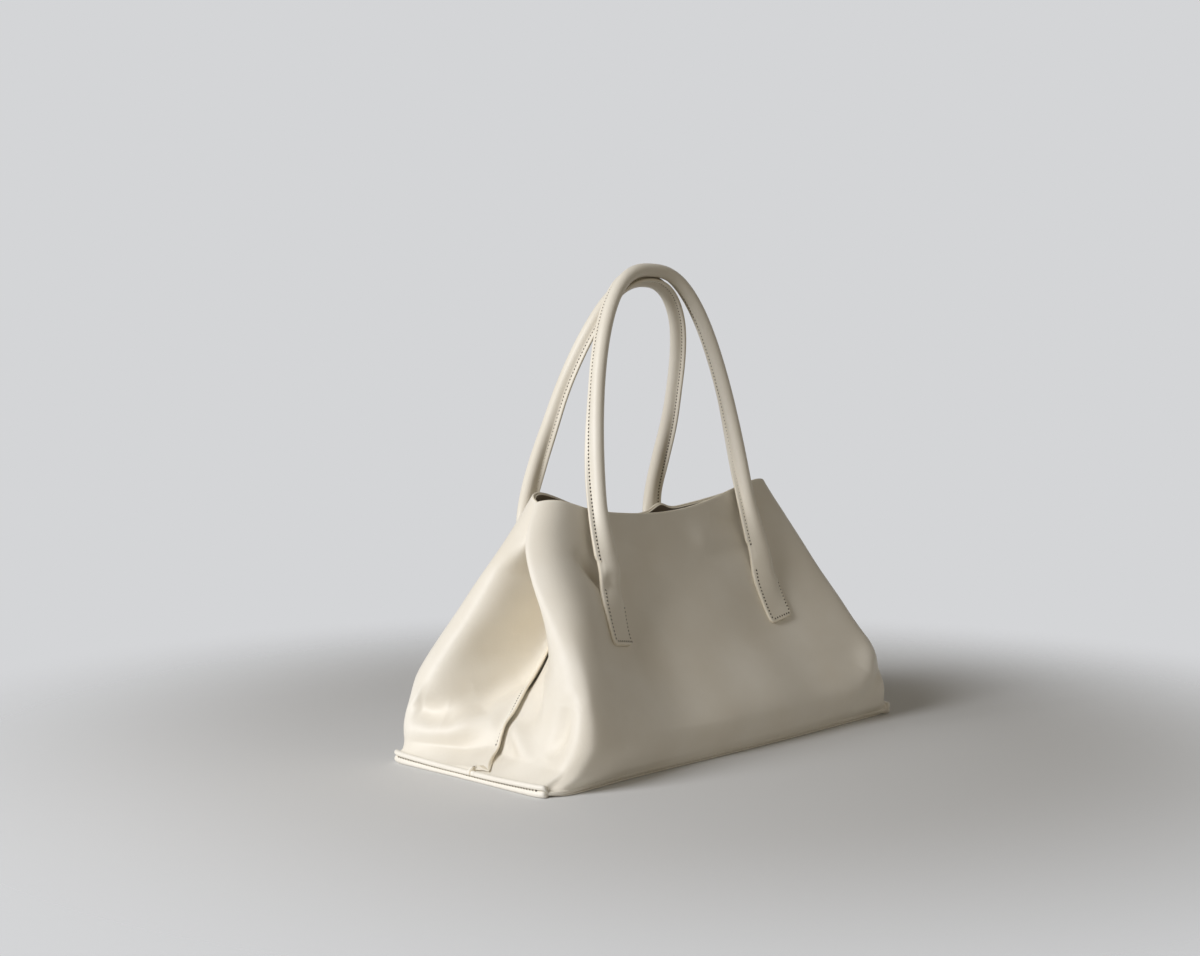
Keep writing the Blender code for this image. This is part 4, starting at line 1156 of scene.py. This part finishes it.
def tab_ring(strap, end, share):
    """One ring of the flat tab, on the folded wall. end is -1 left, 1 right; share runs down it."""
    width = END_WIDTH + (TAB_WIDTH - END_WIDTH) * smooth_step(share / 0.3)
    short = max(0.0, TAB_CORNER - (1.0 - share) * TAB_HEIGHT)
    half = width / 2 - (TAB_CORNER - math.sqrt(max(TAB_CORNER**2 - short**2, 0.0)))
    w, s = tab_place(strap, end, share, strap["side"] * ACROSS_FLAT * half)
    up = UP_FLAT if end < 0 else -UP_FLAT
    pared = 0.8 if share == 1.0 else 1.0
    return wall(w, s, TAB_OUT + (up + 1) / 2 * tab_height(ACROSS_FLAT, share) * pared)


def roll_ring(strap, index):
    """One ring above the tab, which turns from a flat bar into the roll with its flange."""
    point, (toward, square) = strap["route"][index], strap["frames"][index]
    above = point[2] - strap["route"][0][2]
    flat = 1.0 - smooth_step(above / FLATTENING)
    outward = 1.0 if index <= len(strap["route"]) / 2 else -1.0
    height = bar_height(ACROSS_FLAT, STRAP_EDGE, STRAP_CROWN, 3.0)
    bar_b = outward * ((outward * UP_FLAT + 1) / 2 * height - END_THICKNESS / 2)
    a = ROLL_A + (ACROSS_FLAT * END_WIDTH / 2 - ROLL_A) * flat
    notch = NOTCH_DEPTH * smooth_step((NOTCH_TOP - above) / 0.0025) * smooth_step((above - 0.001) / 0.003)
    a = a - notch * np.clip((a - 0.007) / 0.004, 0.0, 1.0)
    b = ROLL_B + (bar_b - ROLL_B) * flat
    return point + a[:, None] * toward + b[:, None] * square


def strap_rings(strap):
    """All rings of a strap. Those near the two joins of tab and roll are smoothed into each other."""
    left, right = [[tab_ring(strap, end, share) for share in TAB_ROWS] for end in (-1, 1)]
    rolls = [roll_ring(strap, index) for index in range(2, len(strap["route"]) - 2)]
    rings_all = np.array(left + rolls + right[::-1])
    for _ in range(14):
        softer = rings_all.copy()
        softer[1:-1] = (rings_all[:-2] + 2 * rings_all[1:-1] + rings_all[2:]) / 4
        for join in (len(left), len(left) + len(rolls)):
            near = np.abs(np.arange(len(rings_all)) - join + 0.5)
            pull = (1.0 - smooth_step((near - 1.0) / 5.0))[:, None, None]
            rings_all = rings_all + (softer - rings_all) * pull
    return rings_all


print("a tab has", len(TAB_ROWS), "rings")

# %% Build the straps
def bends_with(piece):
    """Bakes the piece's place into its own mesh."""
    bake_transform(piece)


def strap_piece(which):
    """A handle with its two tabs as one mesh. Its cut edges and the ends of its tabs are painted."""
    rings_all = strap_rings(STRAPS[which])
    edge = np.zeros((len(rings_all) - 1, OUTLINE), int)
    edge[:, [0, 1, -2, -1]] = 1
    far, tabs = OUTLINE // 2, len(TAB_ROWS)
    edge[:tabs, far - 2:far + 2] = 1
    edge[-tabs:, far - 2:far + 2] = 1
    edge[:3] = edge[-3:] = 1
    marks = np.concatenate([edge.reshape(-1), [1, 1]])
    made = closed_tube(f"{which}_strap", rings_all, [roll_nappa, painted_edge], marks)
    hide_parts(f"{which}_handle", f"{which}_tab_left", f"{which}_tab_right")
    bends_with(made)
    print(made.name, "has", len(rings_all), "rings")


for which in STRAPS:
    strap_piece(which)

# %% Stitches of the tabs
SEAM_INSET, ROLL_SEAM, ROLL_SEAM_LOW = 0.0026, 0.0066, 0.016


def tab_lines(strap, end):
    """The stitched outline of one tab: down its seam side, along the bottom and up the other side."""
    level = 1.0 - SEAM_INSET / TAB_HEIGHT
    down = np.linspace(0.0, level, 60)
    half = END_WIDTH / 2 + (TAB_WIDTH - END_WIDTH) / 2 * smooth_step(down / 0.3) - SEAM_INSET
    x_low = np.linspace(-1.0, 1.0, 60) * (TAB_WIDTH / 2 - SEAM_INSET)
    lower = down > 0.36
    up, half_up = down[lower][::-1], half[lower][::-1]
    lines = []
    side = strap["side"]
    for beside, share in ((side * half, down), (x_low, np.full(60, level)), (-side * half_up, up)):
        w, s = tab_place(strap, end, share, beside)
        height = tab_height(side * beside / (TAB_WIDTH / 2), share)
        lines.append((wall(w, s, TAB_OUT + height), read_net(net_out, w, s)))
    return lines


def roll_lines(strap):
    """The seam of the roll, on both faces of its flange."""
    route, frames = strap["route"], strap["frames"]
    above = route[:, 2] - route[0, 2]
    flat = 1.0 - smooth_step(above / FLATTENING)
    keep = np.where(above > ROLL_SEAM_LOW)[0]
    lines = []
    for sign in (1.0, -1.0):
        a = ROLL_SEAM + (END_WIDTH / 2 - SEAM_INSET - ROLL_SEAM) * flat
        outward = np.where(np.arange(len(route)) <= len(route) / 2, sign, -sign)
        b = sign * (0.00130 + np.where(outward > 0, 0.0003, 0.0010) * flat)
        line = route + a[:, None] * frames[:, 0] + b[:, None] * frames[:, 1]
        lines.append((line[keep], (sign * frames[:, 1])[keep]))
    return lines


for which, strap in STRAPS.items():
    sewn = seam(f"{which}_strap_stitches", tab_lines(strap, -1) + tab_lines(strap, 1) + roll_lines(strap))
    bends_with(sewn)

# %% [markdown]
# ## What stays hidden
#
# The rope core is three cotton strands laid round each other, once round in 30 mm. Behind each tab sits a
# small patch of board that spreads the pull of the handle. They hardly ever show, but they are where
# they belong.

# %% Rope cores and patches
ROPE_RADIUS, STRAND_BULGE, STRANDS, LAY = 0.0034, 0.09, 3, 0.030
PATCH_HALF, PATCH_BELOW, PATCH_OUTS = 0.0165, 0.003, (-0.0026, -0.0032)


def rope_piece(which):
    route, frames = STRAPS[which]["route"], STRAPS[which]["frames"]
    keep = np.where(route[:, 2] - route[0, 2] > FLATTENING)[0]
    turns = np.linspace(0.0, 2 * math.pi, 24, endpoint=False)
    travel = lengths_along(route)
    rings_all = []
    for index in keep:
        twist = 2 * math.pi * travel[index] / LAY
        radius = ROPE_RADIUS * (1 + STRAND_BULGE * np.cos(STRANDS * (turns + twist)))
        toward, square = frames[index]
        rings_all.append(route[index] + (radius * np.cos(turns))[:, None] * toward
                         + (radius * np.sin(turns))[:, None] * square)
    made = closed_tube(f"{which}_rope_core", np.array(rings_all), [rope_cotton])
    dress(made, [f"{which}_handle_cord"], f"{which}_handle")
    print(made.name, "runs for", round(float(travel[keep[-1]] - travel[keep[0]]), 3), "m")


def patch_piece(which, end):
    strap = STRAPS[which]
    hand = "left" if end < 0 else "right"
    share = np.linspace(1.0 + PATCH_BELOW / TAB_HEIGHT, 0.0, 14)[:, None]
    across = np.linspace(-1.0, 1.0, 9)[None, :] * PATCH_HALF
    w, s = tab_place(strap, end, share + 0 * across, across + 0 * share)
    if strap["side"] > 0:
        w, s = w[:, ::-1], s[:, ::-1]
    grids = [wall(w, s, out)[::-1] for out in PATCH_OUTS]
    made = leather_sheet(f"{which}_{hand}_backing_board", *grids, [fibre_board, fibre_board], round_steps=1)
    dress(made, [f"{which}_patch_{hand}"], "bag")


for which in STRAPS:
    rope_piece(which)
    for end in (-1, 1):
        patch_piece(which, end)

# %% Finishes of the pieces that stay as they are
KEPT = {"base_board": fibre_board, "snap_socket": nickel, "snap_socket_washer": nickel,
        "snap_stud": nickel, "snap_stud_washer": nickel}
for node, finish in KEPT.items():
    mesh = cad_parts[node].data
    mesh.materials.clear()
    mesh.materials.append(finish)
print("kept as built:", ", ".join(KEPT))

# %% [markdown]
# ## Floor and light
#
# The bag stands on a plain pale floor. A large soft light, like a window, faces its left gusset, so the
# front shades off to the right, and the room gives a weaker warm fill. The floor fades into the pale
# backdrop, so no horizon cuts the picture, and it keeps the bag's shadow.

# %% Floor
FLOOR_HALF, FLOOR_Z, FADE_START, FADE_END = 6.0, -0.0002, 0.28, 0.75


def pale_floor():
    paint = {"Base Color": linear("#DCDCDB"), "Roughness": 0.75, "Specular IOR Level": 0.2}
    finish, tree, shader, place = new_material("matt_pale_floor", paint)
    away = add_node(tree, "ShaderNodeVectorMath", {"operation": "LENGTH"}, links={0: place})
    fade = add_node(tree, "ShaderNodeMapRange", {"interpolation_type": "SMOOTHSTEP"},
                    {"From Min": FADE_START, "From Max": FADE_END}, {"Value": away.outputs["Value"]})
    clear = add_node(tree, "ShaderNodeBsdfTransparent")
    mixed = add_node(tree, "ShaderNodeMixShader", links={0: fade.outputs["Result"],
                                                         1: shader.outputs["BSDF"], 2: clear.outputs["BSDF"]})
    tree.links.new(mixed.outputs["Shader"], tree.nodes["Material Output"].inputs["Surface"])
    corners = [(x * FLOOR_HALF, y * FLOOR_HALF, FLOOR_Z) for x, y in ((-1, -1), (1, -1), (1, 1), (-1, 1))]
    new_piece("pale_floor", corners, [(0, 1, 2, 3)], [finish])


pale_floor()
print("the floor fades out from", FADE_START, "to", FADE_END, "m")

# %% Light
def area_light(name, place, target, size, power, tint):
    data = bpy.data.lights.new(name, "AREA")
    data.shape = "RECTANGLE"
    data.size, data.size_y = size
    data.energy = power
    data.color = linear(tint)[:3]
    lamp = bpy.data.objects.new(name, data)
    lamp.location = place
    lamp.rotation_euler = (Vector(target) - Vector(place)).to_track_quat("-Z", "Y").to_euler()
    bpy.context.scene.collection.objects.link(lamp)


area_light("window", (-1.80, 0.18, 0.95), (0.0, 0.0, 0.12), (0.9, 1.1), 36.0, "#FAFBFF")
area_light("room_fill", (0.6, -2.2, 1.4), (0.0, 0.0, 0.15), (2.0, 1.6), 3.0, "#FFF2E0")
world = bpy.data.worlds.new("pale_room")
bpy.context.scene.world = world
world.use_nodes = True
sky = world.node_tree
path = add_node(sky, "ShaderNodeLightPath")
seen = add_node(sky, "ShaderNodeMath", {"operation": "MAXIMUM"},
                links={0: path.outputs["Is Camera Ray"], 1: path.outputs["Is Glossy Ray"]})
seen_too = add_node(sky, "ShaderNodeMath", {"operation": "MAXIMUM"},
                    links={0: seen.outputs["Value"], 1: path.outputs["Is Transmission Ray"]})
room = sky.nodes["Background"]
room.inputs["Color"].default_value = linear("#FFF4DE")
room.inputs["Strength"].default_value = 0.14
backdrop = add_node(sky, "ShaderNodeBackground", values={"Color": linear("#D4D5D7"), "Strength": 1.0})
either = add_node(sky, "ShaderNodeMixShader",
                  links={0: seen_too.outputs["Value"], 1: room.outputs["Background"],
                         2: backdrop.outputs["Background"]})
sky.links.new(either.outputs["Shader"], sky.nodes["World Output"].inputs["Surface"])
bpy.context.scene.view_settings.view_transform = "Standard"
print("lights:", [light.name for light in bpy.data.lights])
